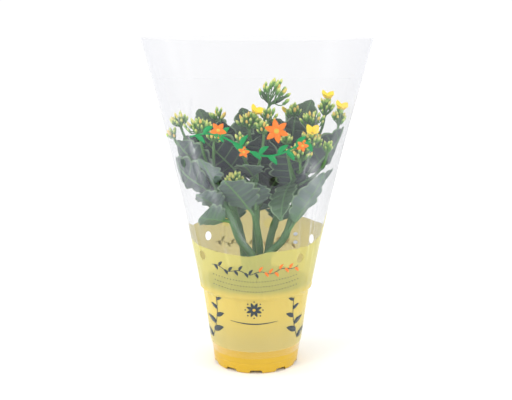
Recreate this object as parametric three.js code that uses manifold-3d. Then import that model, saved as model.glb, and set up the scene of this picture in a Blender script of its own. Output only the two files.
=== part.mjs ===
// A flaming katy (Kalanchoe blossfeldiana) in bud: six leafy stems rooted in the soil of a yellow
// nursery pot, their bud heads and open flowers, and the clear film sleeve that stands round them.
// Millimetres, +Z up. The origin is on the surface the pot stands on, under the pot's axis.
// -Y is the front, +X is to the right.
import * as THREE from 'three';
import { mergeVertices } from 'three/addons/utils/BufferGeometryUtils.js';
import Module from 'manifold-3d';

const wasm = await Module();
wasm.setup();

// Pot, a thin moulded cup with an outward lip and a notched foot ring
const POT_HEIGHT = 92;
const POT_RIM_R = 60;
const POT_WALL_TOP_R = 57;
const POT_FOOT_R = 45.4;
const POT_WALL = 1.6;
const POT_LIP = 4;
const POT_LIP_WIDTH = 4.4;
const POT_FOOT_HEIGHT = 4;
const POT_FOOT_WIDTH = 3.6;
const FOOT_NOTCHES = 10;
const FOOT_NOTCH_WIDTH = 15;
const FOOT_NOTCH_TOP_WIDTH = 11;
const DRAIN_HOLES = 6;
const DRAIN_R = 4.5;
const DRAIN_RING_R = 27;

// Soil
const SOIL_TOP = 83;
const SOIL_RELIEF = 1.6;
const SOIL_GAP = 0.9;
const STEM_HOLE_R = 6.1;

// Sleeve, a conical bag of film: round on the pot, lens-shaped at its mouth
const FILM_THICKNESS = 0.6;
const FILM_BOTTOM = 17.8;
const FILM_TOP = 351.4;
const FILM_GAP = 0.65;
const FILM_RIM_Z = 91;
const FILM_MOUTH_HALF_WIDTH = 122.4;
const FILM_MOUTH_HALF_DEPTH = 86;
const FILM_FLARE = 0.19;
const FILM_CORNER = 0.3;
const FILM_LEAN = -1.6;
const FILM_TURN = -7;
const VENT_R = 5;
const FRONT = 0;
const BACK = 180;
const VENTS = [
  { z: 226, at: [-58, 64], panels: [FRONT, BACK] },
  { z: 213, at: [-24, 21], panels: [FRONT, BACK] },
  { z: 170, at: [-19, 17.5], panels: [FRONT, BACK] },
  { z: 128, at: [-50.5, 50.5], panels: [FRONT] },
  { z: 130, at: [-60, 60], panels: [BACK] },
];

// Plant
const SEAT = 0.3;
const LEAF_CUP = 0.2;
const LEAF_EDGE = 0.8;
const RIB_THICKNESS = 2.4;
const RIB_TIP_THICKNESS = 1.2;
const PETIOLE_SHARE = 0.2;
const PETIOLE_WIDTH = 4;
const PETIOLE_EDGE = 2.4;
const PETIOLE_THICKNESS = 3.6;
const STEM_R = 5;
const STEM_TIP_R = 2.8;
const STALK_R = 1.5;
const STALK_TOP = 0.985;
const STALK_STEP = 0.03;
const BESIDE_AXIS = 1.4;
const HEAD_CORE = 0.55;
const BUD_R = 1.9;
const BUD_LENGTH = 8;
const BRACT_WIDTH = 5;
const BRACT_THICKNESS = 1.4;
const FLOWER_STALK_R = 1;
const FLOWER_TUBE = 5.6;
const PETAL_LENGTH = 8;
const PETAL_WIDTH = 8.4;
const PETAL_RISE = 0.8;
const PETAL_TURN = 0.5;
const PETAL_FOOT = 0.22;
const FLOWER_ROOM = 3.4;
const FLOWER_ROOM_FLARE = 0.4;
const FILM_CLEARANCE = 2.2;

// Each stem: its path from the root end up, the leaves that leave it at the height share "at" with their
// tip, width and bow, and the heads whose stalks it carries. A leaf's upper face looks in to the stems,
// unless "face" gives another way.
const STEMS = [
  {
    name: 'leafy_stem_left_front',
    path: [[-9, -10, 62], [-5, -14, 98], [-4, -24, 123], [-18, -25, 143], [-26, -24, 165],
      [-38, -21, 190], [-46, -13, 214]],
    leaves: [
      { at: 0.64, tip: [-63, -40, 169], width: 42, bow: 0.06 },
      { at: 0.72, tip: [-63, -33, 192], width: 42, bow: 0.06 },
      { at: 0.81, tip: [-104, -12, 225], width: 42, bow: 0.06, face: [0.8, 1, 0.4] },
      { at: 0.88, tip: [-86, -9, 245], width: 42, bow: 0.06, face: [0.7, 1, 0.3] },
      { at: 0.87, tip: [-57, -43, 231], width: 32, bow: 0.1 },
    ],
    heads: ['far_left', 'far_left_low', 'left', 'left_low'],
  },
  {
    name: 'leafy_stem_centre_front',
    path: [[0, 0, 62], [1, -3, 94], [4, -14, 128], [0, -20, 160], [-1, -17, 190], [0, -13, 216]],
    leaves: [
      { at: 0.64, tip: [-32, -58, 211], width: 44, bow: 0.08 },
      { at: 0.68, tip: [0, -42, 206], width: 31, bow: 0.08 },
      { at: 0.84, tip: [-63, -7, 253], width: 50, bow: 0.04, face: [0.3, 1, 0.3] },
      { at: 0.92, tip: [-13, -48, 225], width: 30, bow: 0.12, face: [0, 0.3, 1] },
    ],
    heads: ['centre_low', 'centre_small', 'front_low'],
  },
  {
    name: 'leafy_stem_right_front',
    path: [[10, -10, 62], [7, -14, 98], [11, -24, 123], [28, -24, 141], [36, -21, 160],
      [42, -17, 188], [43, -9, 216]],
    leaves: [
      { at: 0.94, tip: [26, -55, 169], width: 34, bow: 0.25, face: [-0.8, -0.8, 0.5] },
      { at: 0.55, tip: [75, -35, 215], width: 44, bow: 0.06 },
      { at: 0.82, tip: [31, -17, 241], width: 42, bow: 0.04, face: [0.1, 1, 0.2] },
      { at: 0.9, tip: [104, -12, 259], width: 42, bow: 0.06, face: [-0.6, 1, 0.5] },
      { at: 0.77, tip: [90, -8, 214], width: 38, bow: 0.08 },
    ],
    heads: ['right_front', 'right', 'right_small', 'right_low'],
  },
  {
    name: 'leafy_stem_left_back',
    path: [[-11, 7, 62], [-11, 8, 92], [-15, 14, 130], [-24, 20, 165], [-32, 24, 200], [-35, 25, 222]],
    leaves: [
      { at: 0.92, tip: [-63, 36, 273], width: 48, bow: 0.06 },
      { at: 0.78, tip: [-38, 9, 264], width: 42, bow: 0.04, face: [0.2, -1, 0.2] },
      { at: 0.62, tip: [-74, 20, 198], width: 42, bow: 0.08, face: [0.8, -0.3, 0.5] },
      { at: 0.74, tip: [-38, 62, 214], width: 44, bow: 0.08 },
      { at: 0.84, tip: [-80, 26, 244], width: 34, bow: 0.06 },
      { at: 0.5, tip: [-36, 50, 166], width: 38, bow: 0.08 },
      { at: 0.62, tip: [-40, 9, 211], width: 38, bow: 0.04, face: [0.2, -1, 0.2] },
    ],
    heads: ['left_back', 'back_left_side', 'back_left'],
  },
  {
    name: 'leafy_stem_centre_back',
    path: [[0, 14, 62], [0, 15, 92], [0, 18, 130], [0, 19, 165], [-2, 17, 205], [0, 14, 236]],
    leaves: [
      { at: 0.7, tip: [8, -3, 250], width: 50, bow: 0.06, face: [0, -1, 0.2] },
      { at: 0.84, tip: [24, 10, 266], width: 42, bow: 0.04, face: [0, -1, 0.2] },
      { at: 0.9, tip: [-15, 34, 275], width: 36, bow: 0.06 },
      { at: 0.74, tip: [0, 66, 222], width: 46, bow: 0.08 },
      { at: 0.56, tip: [6, 62, 176], width: 40, bow: 0.08 },
      { at: 0.6, tip: [30, 3, 214], width: 46, bow: 0.04, face: [0, -1, 0.2] },
    ],
    heads: ['centre', 'centre_right', 'tallest', 'back_centre'],
  },
  {
    name: 'leafy_stem_right_back',
    path: [[11, 7, 62], [11, 8, 92], [15, 13, 130], [25, 18, 165], [33, 22, 200], [37, 24, 226]],
    leaves: [
      { at: 0.92, tip: [61, 42, 283], width: 48, bow: 0.06 },
      { at: 0.8, tip: [42, 14, 268], width: 44, bow: 0.04, face: [-0.2, -1, 0.2] },
      { at: 0.62, tip: [76, 16, 196], width: 42, bow: 0.08, face: [-0.8, -0.3, 0.5] },
      { at: 0.74, tip: [36, 64, 212], width: 44, bow: 0.08 },
      { at: 0.82, tip: [85, 16, 240], width: 34, bow: 0.06 },
      { at: 0.5, tip: [38, 48, 164], width: 38, bow: 0.08 },
      { at: 0.88, tip: [24, 44, 262], width: 34, bow: 0.06 },
    ],
    heads: ['right_back', 'right_high', 'right_top', 'far_right', 'back_right', 'back_right_side'],
  },
];

// Each head: where its stalk ends, the axis it points along, its height, spread and number of buds.
// "open" places an open flower over it, "core" is how much of the head its dense middle fills, and
// "bracts" are the tips of small leaves at its foot.
const HEADS = {
  far_left: { foot: [-79, -2, 258], axis: [-0.3, -0.1, 1], height: 14, spread: 9, buds: 9 },
  far_left_low: { foot: [-86, -6, 247], axis: [-0.4, -0.2, 1], height: 11, spread: 5, buds: 5 },
  left: { foot: [-58, -26, 254], axis: [-0.1, -0.2, 1], height: 16, spread: 14, buds: 14 },
  left_low: { foot: [-43, -33, 247], axis: [0.1, -0.3, 1], height: 12, spread: 7, buds: 6 },
  left_back: { foot: [-41, 28, 260], axis: [0, 0, 1], height: 13, spread: 8, buds: 7 },
  back_left_side: { foot: [-53, 40, 238], axis: [-0.2, 0.2, 1], height: 13, spread: 9, buds: 6 },
  back_left: { foot: [-32, 52, 236], axis: [-0.1, 0.1, 1], height: 13, spread: 10, buds: 7 },
  centre: { foot: [-7, -6, 257], axis: [0, -0.2, 1], height: 16, spread: 12, buds: 13,
    open: [-2, -11, 270] },
  centre_right: { foot: [13, -2, 264], axis: [0.1, -0.1, 1], height: 13, spread: 9, buds: 7 },
  tallest: { foot: [14, 13, 279], axis: [0.4, 0, 1], height: 27, spread: 17, buds: 16, core: 0.4,
    bracts: [[4, 10, 297], [33, 10, 290]] },
  back_centre: { foot: [4, 55, 238], axis: [0, 0.1, 1], height: 13, spread: 10, buds: 7 },
  centre_low: { foot: [8, -24, 254], axis: [0, -0.2, 1], height: 12, spread: 7, buds: 6 },
  centre_small: { foot: [-15, -34, 244], axis: [0, -0.4, 1], height: 11, spread: 6, buds: 5 },
  front_low: { foot: [-22, -36, 204], axis: [-0.1, -0.1, 1], height: 11, spread: 9, buds: 11 },
  right_front: { foot: [45, -40, 226], axis: [-0.1, -0.2, 1], height: 20, spread: 12, buds: 13, core: 0.4 },
  right: { foot: [56, -25, 239], axis: [0, -0.2, 1], height: 17, spread: 12.6, buds: 15,
    open: [57, -33, 252] },
  right_small: { foot: [31, -27, 243], axis: [-0.1, -0.1, 1], height: 12, spread: 6, buds: 6 },
  right_low: { foot: [73, -31, 235], axis: [0.1, -0.1, 1], height: 11, spread: 4, buds: 4 },
  right_back: { foot: [41, 25, 265], axis: [0, 0, 1], height: 14, spread: 9, buds: 7 },
  right_high: { foot: [60, 4, 259], axis: [0, 0, 1], height: 14, spread: 12, buds: 10 },
  right_top: { foot: [73, 14, 266], axis: [0.1, 0, 1], height: 21, spread: 8, buds: 10,
    open: [75, 11, 283] },
  far_right: { foot: [87, 2, 258], axis: [0.1, 0, 1], height: 20, spread: 6.6, buds: 10,
    open: [89, -2, 273] },
  back_right: { foot: [32, 52, 240], axis: [0.1, 0.1, 1],
    height: 13, spread: 10, buds: 7, open: [34, 55, 262] },
  back_right_side: { foot: [62, 33, 240], axis: [0.2, 0.2, 1], height: 13, spread: 8, buds: 6 },
};

const material = (color, roughness, metalness = 0) =>
  new THREE.MeshStandardMaterial({ color, roughness, metalness });
const POT_YELLOW = material(0xe8bb42, 0.45);
const SOIL_BROWN = material(0x3a2a1e, 0.95);
const LEAF_GREEN = material(0x3f6b3a, 0.5);
const BUD_GREEN = material(0xb9c957, 0.5);
const PETAL_YELLOW = material(0xf7c31c, 0.5);
const FILM_CLEAR = material(0xe9e9f0, 0.1);
FILM_CLEAR.transparent = true;
FILM_CLEAR.opacity = 0.35;

const UP = new THREE.Vector3(0, 0, 1);
const vec = ([x, y, z]) => new THREE.Vector3(x, y, z);
const radians = THREE.MathUtils.degToRad;
const mix = THREE.MathUtils.lerp;

// The same small even draw for the same pair of numbers, from 0 to 1
function draw(a, b) {
  const wave = Math.sin(a * 12.9898 + b * 78.233) * 437.585;
  return wave - Math.floor(wave);
}

// A closed geometry from points and triangle indices
function closedGeometry(points, triangles) {
  const geometry = new THREE.BufferGeometry().setFromPoints(points);
  geometry.setIndex(triangles);
  return geometry;
}

function toSolid(geometry) {
  const bare = geometry.clone();
  bare.deleteAttribute('normal');
  bare.deleteAttribute('uv');
  const merged = mergeVertices(bare, 1e-4);
  return new wasm.Manifold(new wasm.Mesh({
    numProp: 3,
    vertProperties: new Float32Array(merged.attributes.position.array),
    triVerts: new Uint32Array(merged.index.array),
  }));
}

function toGeometry(solid) {
  const mesh = solid.getMesh();
  const geometry = new THREE.BufferGeometry();
  geometry.setAttribute('position', new THREE.BufferAttribute(mesh.vertProperties, 3));
  geometry.setIndex(new THREE.BufferAttribute(mesh.triVerts, 1));
  return geometry;
}

// The largest body of a solid: loose scraps and the walls of sealed hollows are left out
function mainBody(solid) {
  const bodies = solid.decompose();
  return bodies.reduce((best, body) => (body.volume() > best.volume() ? body : best));
}

function fuse(geometries) {
  const joined = geometries.map(toSolid).reduce((whole, piece) => whole.add(piece));
  return toGeometry(mainBody(joined));
}

// A closed skin over rings of points, with a point or a flat cap at each end
function loft(rings) {
  const points = [];
  const starts = rings.map((ring) => points.push(...ring) - ring.length);
  const triangles = [];
  for (let i = 0; i + 1 < rings.length; i += 1) {
    const [a, b] = [starts[i], starts[i + 1]];
    const [m, n] = [rings[i].length, rings[i + 1].length];
    const sides = Math.max(m, n);
    for (let k = 0; k < sides; k += 1) {
      const next = (k + 1) % sides;
      if (m > 1) triangles.push(a + k, a + next, b + (n > 1 ? next : 0));
      if (n > 1) triangles.push(a + (m > 1 ? k : 0), b + next, b + k);
    }
  }
  const last = rings.length - 1;
  for (let k = 1; k + 1 < rings[0].length; k += 1) {
    triangles.push(starts[0], starts[0] + k + 1, starts[0] + k);
  }
  for (let k = 1; k + 1 < rings[last].length; k += 1) {
    triangles.push(starts[last], starts[last] + k, starts[last] + k + 1);
  }
  return closedGeometry(points, triangles);
}

// A ring of points round a centre, square to an axis. "start" turns it.
function ringAt(centre, axis, radius, sides, start = 0) {
  if (radius === 0) return [centre.clone()];
  const along = axis.clone().normalize();
  const side = new THREE.Vector3(1, 0, 0).addScaledVector(along, -along.x).normalize();
  const other = along.clone().cross(side);
  return Array.from({ length: sides }, (_, k) => {
    const angle = start + (2 * Math.PI * k) / sides;
    return centre.clone()
      .addScaledVector(side, radius * Math.cos(angle))
      .addScaledVector(other, radius * Math.sin(angle));
  });
}

// A round tapered rod along a curve
function rod(curve, radiusStart, radiusEnd, steps, sides) {
  return loft(Array.from({ length: steps + 1 }, (_, i) => {
    const t = i / steps;
    return ringAt(curve.getPoint(t), curve.getTangent(t), mix(radiusStart, radiusEnd, t), sides);
  }));
}

function latheZ(profile, segments) {
  const points = profile.map(([r, z]) => new THREE.Vector2(r, z));
  return new THREE.LatheGeometry(points, segments).rotateX(Math.PI / 2);
}

// The film's half width, half depth and corner sharpness at a height above the pot's rim
function filmSection(z) {
  const rise = Math.max(0, z - FILM_RIM_Z);
  const full = FILM_TOP - FILM_RIM_Z;
  const rimR = POT_RIM_R + FILM_GAP + FILM_THICKNESS;
  const flare = (FILM_MOUTH_HALF_WIDTH - rimR - FILM_FLARE * full) / (full * full);
  return {
    halfWidth: rimR + FILM_FLARE * rise + flare * rise * rise,
    halfDepth: mix(rimR, FILM_MOUTH_HALF_DEPTH, rise / full),
    corner: 1 + (FILM_CORNER * rise) / full,
    lean: (FILM_LEAN * rise) / full,
  };
}

// How far out a point lies: 0 on the sleeve's axis, 1 on the film
function filmShare(x, y, z) {
  const { halfWidth, halfDepth, corner, lean } = filmSection(z);
  const turn = radians(-FILM_TURN);
  const across = Math.abs((x - lean) * Math.cos(turn) - y * Math.sin(turn)) / (halfWidth - FILM_CLEARANCE);
  const deep = Math.abs((x - lean) * Math.sin(turn) + y * Math.cos(turn)) / (halfDepth - FILM_CLEARANCE);
  let low = 0;
  let high = 4;
  for (let i = 0; i < 24; i += 1) {
    const share = (low + high) / 2;
    const reach = (across / share) ** 2 + (deep / share) ** (2 / corner);
    if (reach > 1) low = share;
    else high = share;
  }
  return high;
}

// A leaf that reaches the film is pressed in along it
function pressIn(point) {
  const free = 0.86;
  const share = filmShare(point.x, point.y, point.z);
  if (share <= free) return point;
  const room = 1 - free;
  const pressed = free + room * (1 - Math.exp((free - share) / room));
  const { lean } = filmSection(point.z);
  point.x = lean + ((point.x - lean) * pressed) / share;
  point.y *= pressed / share;
  return point;
}

// The leaf's half width as a share of its width, v from 0 at the blade's foot to 1 at its tip
function bladeShape(v) {
  return 0.5 * Math.sin(Math.PI * v ** 0.82) ** 0.72;
}

// Along each side: how far up the blade, and how much the round teeth widen or narrow it there
const LEAF_TEETH = [
  [0.12, 1], [0.3, 0.88], [0.41, 1.1], [0.54, 0.86], [0.66, 1.1], [0.79, 0.84], [0.9, 1.2],
];
const RIB_STATIONS = [0.42, 0.72];

// The leaf's middle surface: its rib is a bent line from the stem to the tip, and the blade is cupped
function leafFrame(foot, leaf) {
  const tip = vec(leaf.tip);
  const along = tip.clone().sub(foot);
  const length = along.length();
  along.normalize();
  const inward = new THREE.Vector3(foot.x + tip.x, 1.6 * (foot.y + tip.y), 0).normalize().negate();
  const face = leaf.face ? vec(leaf.face) : inward.addScaledVector(UP, 0.35);
  face.addScaledVector(along, -face.dot(along)).normalize();
  const middle = foot.clone().addScaledVector(along, length * 0.5).addScaledVector(face, leaf.bow * length);
  const rib = new THREE.QuadraticBezierCurve3(foot, middle, tip);
  const side = along.clone().cross(face);
  return (s, offset, thickness) => {
    const tangent = rib.getTangent(s);
    const normal = face.clone().addScaledVector(tangent, -face.dot(tangent)).normalize();
    const lift = LEAF_CUP * Math.abs(offset) + thickness;
    return pressIn(rib.getPoint(s).addScaledVector(side, offset).addScaledVector(normal, lift));
  };
}

// A leaf blade with its petiole: one plate with the same triangles on both faces
function leafGeometry(foot, leaf) {
  const place = leafFrame(foot, leaf);
  const alongRib = (v) => mix(PETIOLE_SHARE, 1, v);
  const edge = [[0, PETIOLE_WIDTH / 2], [PETIOLE_SHARE, PETIOLE_WIDTH / 2]];
  for (const [v, tooth] of LEAF_TEETH) edge.push([alongRib(v), bladeShape(v) * leaf.width * tooth]);
  const ribs = [0, PETIOLE_SHARE, ...RIB_STATIONS.map(alongRib), 1];
  const edgeThickness = (s) => (s <= PETIOLE_SHARE ? PETIOLE_EDGE : LEAF_EDGE);
  const ribThickness = (s) => {
    if (s <= PETIOLE_SHARE) return PETIOLE_THICKNESS;
    return mix(RIB_THICKNESS, RIB_TIP_THICKNESS, s);
  };

  const points = [];
  const triangles = [];
  const face = (sign) => ({
    rib: ribs.map((s) => points.push(place(s, 0, (sign * ribThickness(s)) / 2)) - 1),
    right: edge.map(([s, half]) => points.push(place(s, half, (sign * edgeThickness(s)) / 2)) - 1),
    left: edge.map(([s, half]) => points.push(place(s, -half, (sign * edgeThickness(s)) / 2)) - 1),
  });
  const top = face(1);
  const bottom = face(-1);

  // Triangles between the rib and one edge, taken in turn by how far along they are
  const strip = (ribLine, edgeLine, flip) => {
    let i = 0;
    let j = 0;
    while (i + 1 < ribLine.length || j + 1 < edgeLine.length) {
      const ribNext = i + 1 < ribLine.length ? ribs[i + 1] : Infinity;
      const edgeNext = j + 1 < edgeLine.length ? edge[j + 1][0] : Infinity;
      const moveRib = ribNext <= edgeNext;
      const corners = moveRib
        ? [ribLine[i], edgeLine[j], ribLine[i + 1]]
        : [ribLine[i], edgeLine[j], edgeLine[j + 1]];
      triangles.push(...(flip ? corners.reverse() : corners));
      if (moveRib) i += 1;
      else j += 1;
    }
  };
  strip(top.rib, top.right, false);
  strip(top.rib, top.left, true);
  strip(bottom.rib, bottom.right, true);
  strip(bottom.rib, bottom.left, false);

  const outline = (one) => [...one.right, one.rib.at(-1), ...one.left.slice().reverse(), one.rib[0]];
  const [upper, lower] = [outline(top), outline(bottom)];
  upper.forEach((corner, k) => {
    const next = (k + 1) % upper.length;
    triangles.push(corner, lower[k], lower[next], corner, lower[next], upper[next]);
  });
  return closedGeometry(points, triangles);
}

// A point just off a stem's axis, on the side that a leaf or stalk leaves from
function besideStem(curve, at, towards) {
  const point = curve.getPoint(at);
  const out = vec(towards).sub(point).setZ(0).normalize();
  return point.addScaledVector(out, BESIDE_AXIS);
}

// The curve of a head's stalk, from its stem to the head's foot
function stalkCurve(stemCurve, at, head) {
  const start = besideStem(stemCurve, at, head.foot);
  const foot = vec(head.foot);
  const axis = vec(head.axis).normalize();
  const bend = foot.clone().addScaledVector(axis, -0.45 * start.distanceTo(foot));
  return new THREE.QuadraticBezierCurve3(start, bend, foot.addScaledVector(axis, -SEAT));
}

const stemCurve = (stem) => new THREE.CatmullRomCurve3(stem.path.map(vec), false, 'catmullrom', 0.5);

function stemGeometry(stem) {
  const curve = stemCurve(stem);
  const pieces = [rod(curve, STEM_R, STEM_TIP_R, 7, 6)];
  for (const leaf of stem.leaves) pieces.push(leafGeometry(besideStem(curve, leaf.at, leaf.tip), leaf));
  stem.heads.forEach((name, i) => {
    const stalk = stalkCurve(curve, STALK_TOP - STALK_STEP * i, HEADS[name]);
    pieces.push(rod(stalk, STALK_R, STALK_R, 3, 4));
  });
  return fuse(pieces);
}

// A pedicel and its pointed, four-angled bud in one
function budGeometry({ start, neck, tip, turn }) {
  const axis = tip.clone().sub(neck);
  const belly = neck.clone().addScaledVector(axis, 0.25);
  return loft([[start], ringAt(belly, axis, BUD_R, 4, turn), [tip]]);
}

// Whether a bud leaves room for the open flower of its head, which widens upwards
function leavesRoom(bud, head) {
  if (!head.open) return true;
  const axis = openAxis(head);
  return [0.25, 0.6, 1].every((share) => {
    const from = bud.neck.clone().lerp(bud.tip, share).sub(vec(head.open));
    const height = from.dot(axis);
    const apart = from.addScaledVector(axis, -height).length();
    return height < 0 || apart > FLOWER_ROOM + FLOWER_ROOM_FLARE * height;
  });
}

// The buds of a head stand out of its dense middle and make a dome
function headBuds(head, seed) {
  const foot = vec(head.foot);
  const axis = vec(head.axis).normalize();
  const side = new THREE.Vector3(1, 0, 0).addScaledVector(axis, -axis.x).normalize();
  const other = axis.clone().cross(side);
  const core = head.core ?? HEAD_CORE;
  return Array.from({ length: head.buds }, (_, i) => {
    const share = Math.sqrt((i + 0.35) / head.buds);
    const angle = i * radians(137.5) + seed;
    const out = side.clone().multiplyScalar(Math.cos(angle)).addScaledVector(other, Math.sin(angle));
    const rise = head.height * (1 - 0.45 * share * share + 0.2 * (draw(i, seed) - 0.5));
    const neck = foot.clone().addScaledVector(axis, rise - BUD_LENGTH * 0.7)
      .addScaledVector(out, (head.spread - 2) * share);
    const point = axis.clone().addScaledVector(out, 0.7 * share).normalize();
    return {
      start: foot.clone().addScaledVector(axis, head.height * (0.2 + 0.25 * core * (1 - share)))
        .addScaledVector(out, head.spread * 0.6 * core * share),
      neck,
      tip: neck.clone().addScaledVector(point, BUD_LENGTH * (0.85 + 0.3 * draw(i + 9, seed))),
      turn: angle,
    };
  }).filter((bud) => leavesRoom(bud, head));
}

// A small narrow leaf at the foot of a head
function bractGeometry(foot, tip) {
  const along = tip.clone().sub(foot);
  const up = UP.clone().cross(along).normalize();
  const side = along.clone().normalize().cross(up);
  const corner = (share, x, y) => foot.clone()
    .addScaledVector(along, share).addScaledVector(side, x).addScaledVector(up, y);
  const row = (share, half) => [
    corner(share, half, 0), corner(share, 0, BRACT_THICKNESS / 2),
    corner(share, -half, 0), corner(share, 0, -BRACT_THICKNESS / 2),
  ];
  return loft([row(0, 1), row(0.55, BRACT_WIDTH / 2), [tip]]);
}

function headGeometry(head, seed) {
  const foot = vec(head.foot);
  const axis = vec(head.axis).normalize();
  const core = head.core ?? HEAD_CORE;
  const up = (share) => foot.clone().addScaledVector(axis, head.height * share);
  const pieces = [loft([
    ringAt(foot, axis, STALK_R, 5),
    ringAt(up(0.2 + 0.25 * core), axis, head.spread * core, 5),
    [up(0.3 + 0.5 * core)],
  ])];
  for (const bud of headBuds(head, seed)) pieces.push(budGeometry(bud));
  for (const tip of head.bracts ?? []) pieces.push(bractGeometry(up(0.08), vec(tip)));
  if (head.open) {
    const seat = vec(head.open).addScaledVector(openAxis(head), -SEAT);
    pieces.push(rod(new THREE.LineCurve3(up(0.15), seat), FLOWER_STALK_R, FLOWER_STALK_R, 1, 4));
  }
  return fuse(pieces);
}

// An open flower looks out along the line from its head's foot
function openAxis(head) {
  return vec(head.open).sub(vec(head.foot)).normalize();
}

// One pointed petal, folded along its middle
function petalGeometry(throat, axis, out) {
  const across = axis.clone().cross(out);
  const corner = (share, side, height) => throat.clone()
    .addScaledVector(out, share * PETAL_LENGTH)
    .addScaledVector(across, side * PETAL_WIDTH)
    .addScaledVector(axis, height + PETAL_RISE * (share - PETAL_FOOT) * PETAL_LENGTH);
  const row = (share, half, fold) => [
    corner(share, half, 0.8 + fold), corner(share, 0, 0.5),
    corner(share, -half, 0.8 + fold), corner(share, 0, -0.5),
  ];
  return loft([row(PETAL_FOOT, 0.17, 0), row(0.58, 0.5, 0.6), [corner(1, 0, 0.3)]]);
}

function openFlowerGeometry(head) {
  const axis = openAxis(head);
  const foot = vec(head.open);
  const up = (height) => foot.clone().addScaledVector(axis, height);
  const pieces = [loft([
    ringAt(foot, axis, 0.9, 5),
    ringAt(up(FLOWER_TUBE * 0.35), axis, 1.9, 5),
    ringAt(up(FLOWER_TUBE), axis, 2.3, 5),
  ])];
  const side = new THREE.Vector3(1, 0, 0).addScaledVector(axis, -axis.x).normalize();
  for (let k = 0; k < 4; k += 1) {
    const out = side.clone().applyAxisAngle(axis, (Math.PI / 2) * (k + PETAL_TURN));
    pieces.push(petalGeometry(up(FLOWER_TUBE - 0.6), axis, out));
  }
  return fuse(pieces);
}

function potGeometry() {
  const base = POT_FOOT_HEIGHT;
  const lipBottom = POT_HEIGHT - POT_LIP;
  const innerTop = POT_RIM_R - POT_LIP_WIDTH;
  const profile = [
    [0, base], [POT_FOOT_R - POT_FOOT_WIDTH, base], [POT_FOOT_R - POT_FOOT_WIDTH + 0.5, 0],
    [POT_FOOT_R - 1, 0], [POT_FOOT_R, 1], [POT_WALL_TOP_R, lipBottom - 2],
    [POT_RIM_R, lipBottom], [POT_RIM_R, POT_HEIGHT - 0.8], [POT_RIM_R - 0.8, POT_HEIGHT],
    [innerTop, POT_HEIGHT], [innerTop - 0.2, lipBottom - 3],
    [POT_FOOT_R - POT_WALL - 0.4, base + POT_WALL + 1.6], [POT_FOOT_R - POT_WALL - 2, base + POT_WALL],
    [0, base + POT_WALL],
  ];
  let pot = toSolid(latheZ(profile, 36));
  const notchTop = base - 0.3;
  const notch = new THREE.Shape([
    new THREE.Vector2(-FOOT_NOTCH_WIDTH / 2, -1),
    new THREE.Vector2(FOOT_NOTCH_WIDTH / 2, -1),
    new THREE.Vector2(FOOT_NOTCH_TOP_WIDTH / 2, notchTop),
    new THREE.Vector2(-FOOT_NOTCH_TOP_WIDTH / 2, notchTop),
  ]);
  for (let k = 0; k < FOOT_NOTCHES; k += 1) {
    const cutter = new THREE.ExtrudeGeometry(notch, { depth: 14, bevelEnabled: false })
      .rotateX(Math.PI / 2)
      .translate(0, -POT_FOOT_R + 8, 0)
      .rotateZ((2 * Math.PI * k) / FOOT_NOTCHES);
    pot = pot.subtract(toSolid(cutter));
  }
  for (let k = 0; k < DRAIN_HOLES; k += 1) {
    const cutter = new THREE.CylinderGeometry(DRAIN_R, DRAIN_R, 8, 8)
      .rotateX(Math.PI / 2)
      .translate(DRAIN_RING_R, 0, base)
      .rotateZ((2 * Math.PI * k) / DRAIN_HOLES);
    pot = pot.subtract(toSolid(cutter));
  }
  return toGeometry(mainBody(pot));
}

// The pot's inner wall at a height
function potInnerRadius(z) {
  const bottom = POT_FOOT_HEIGHT + POT_WALL + 1.6;
  const top = POT_HEIGHT - POT_LIP - 3;
  return mix(POT_FOOT_R - POT_WALL - 0.4, POT_RIM_R - POT_LIP_WIDTH - 0.2, (z - bottom) / (top - bottom));
}

function soilGeometry() {
  const floor = POT_FOOT_HEIGHT + POT_WALL + SEAT;
  const sides = 24;
  const level = (radius, z, relief) => Array.from({ length: sides }, (_, k) => {
    const angle = (2 * Math.PI * k) / sides;
    const lift = relief * (2 * draw(k, radius) - 1);
    return new THREE.Vector3(radius * Math.cos(angle), radius * Math.sin(angle), z + lift);
  });
  const wallR = potInnerRadius(SOIL_TOP) - SOIL_GAP;
  let soil = toSolid(loft([
    level(potInnerRadius(floor) - 2.4, floor, 0),
    level(potInnerRadius(floor + 1.8) - SOIL_GAP, floor + 1.8, 0),
    level(wallR, SOIL_TOP - 2.2, 0),
    level(wallR * 0.84, SOIL_TOP - 1, SOIL_RELIEF),
    level(wallR * 0.6, SOIL_TOP, SOIL_RELIEF),
    level(wallR * 0.34, SOIL_TOP + 1, SOIL_RELIEF),
    [new THREE.Vector3(0, 0, SOIL_TOP + 1.5)],
  ]));
  for (const stem of STEMS) {
    const curve = stemCurve(stem);
    const root = curve.getPoint(0).addScaledVector(curve.getTangent(0), -2 * SEAT);
    const inSoil = [0.1, 0.2, 0.3].map((t) => curve.getPoint(t));
    const path = new THREE.CatmullRomCurve3([root, ...inSoil]);
    soil = soil.subtract(toSolid(rod(path, STEM_HOLE_R, STEM_HOLE_R, 2, 8)));
  }
  return toGeometry(mainBody(soil));
}

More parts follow.
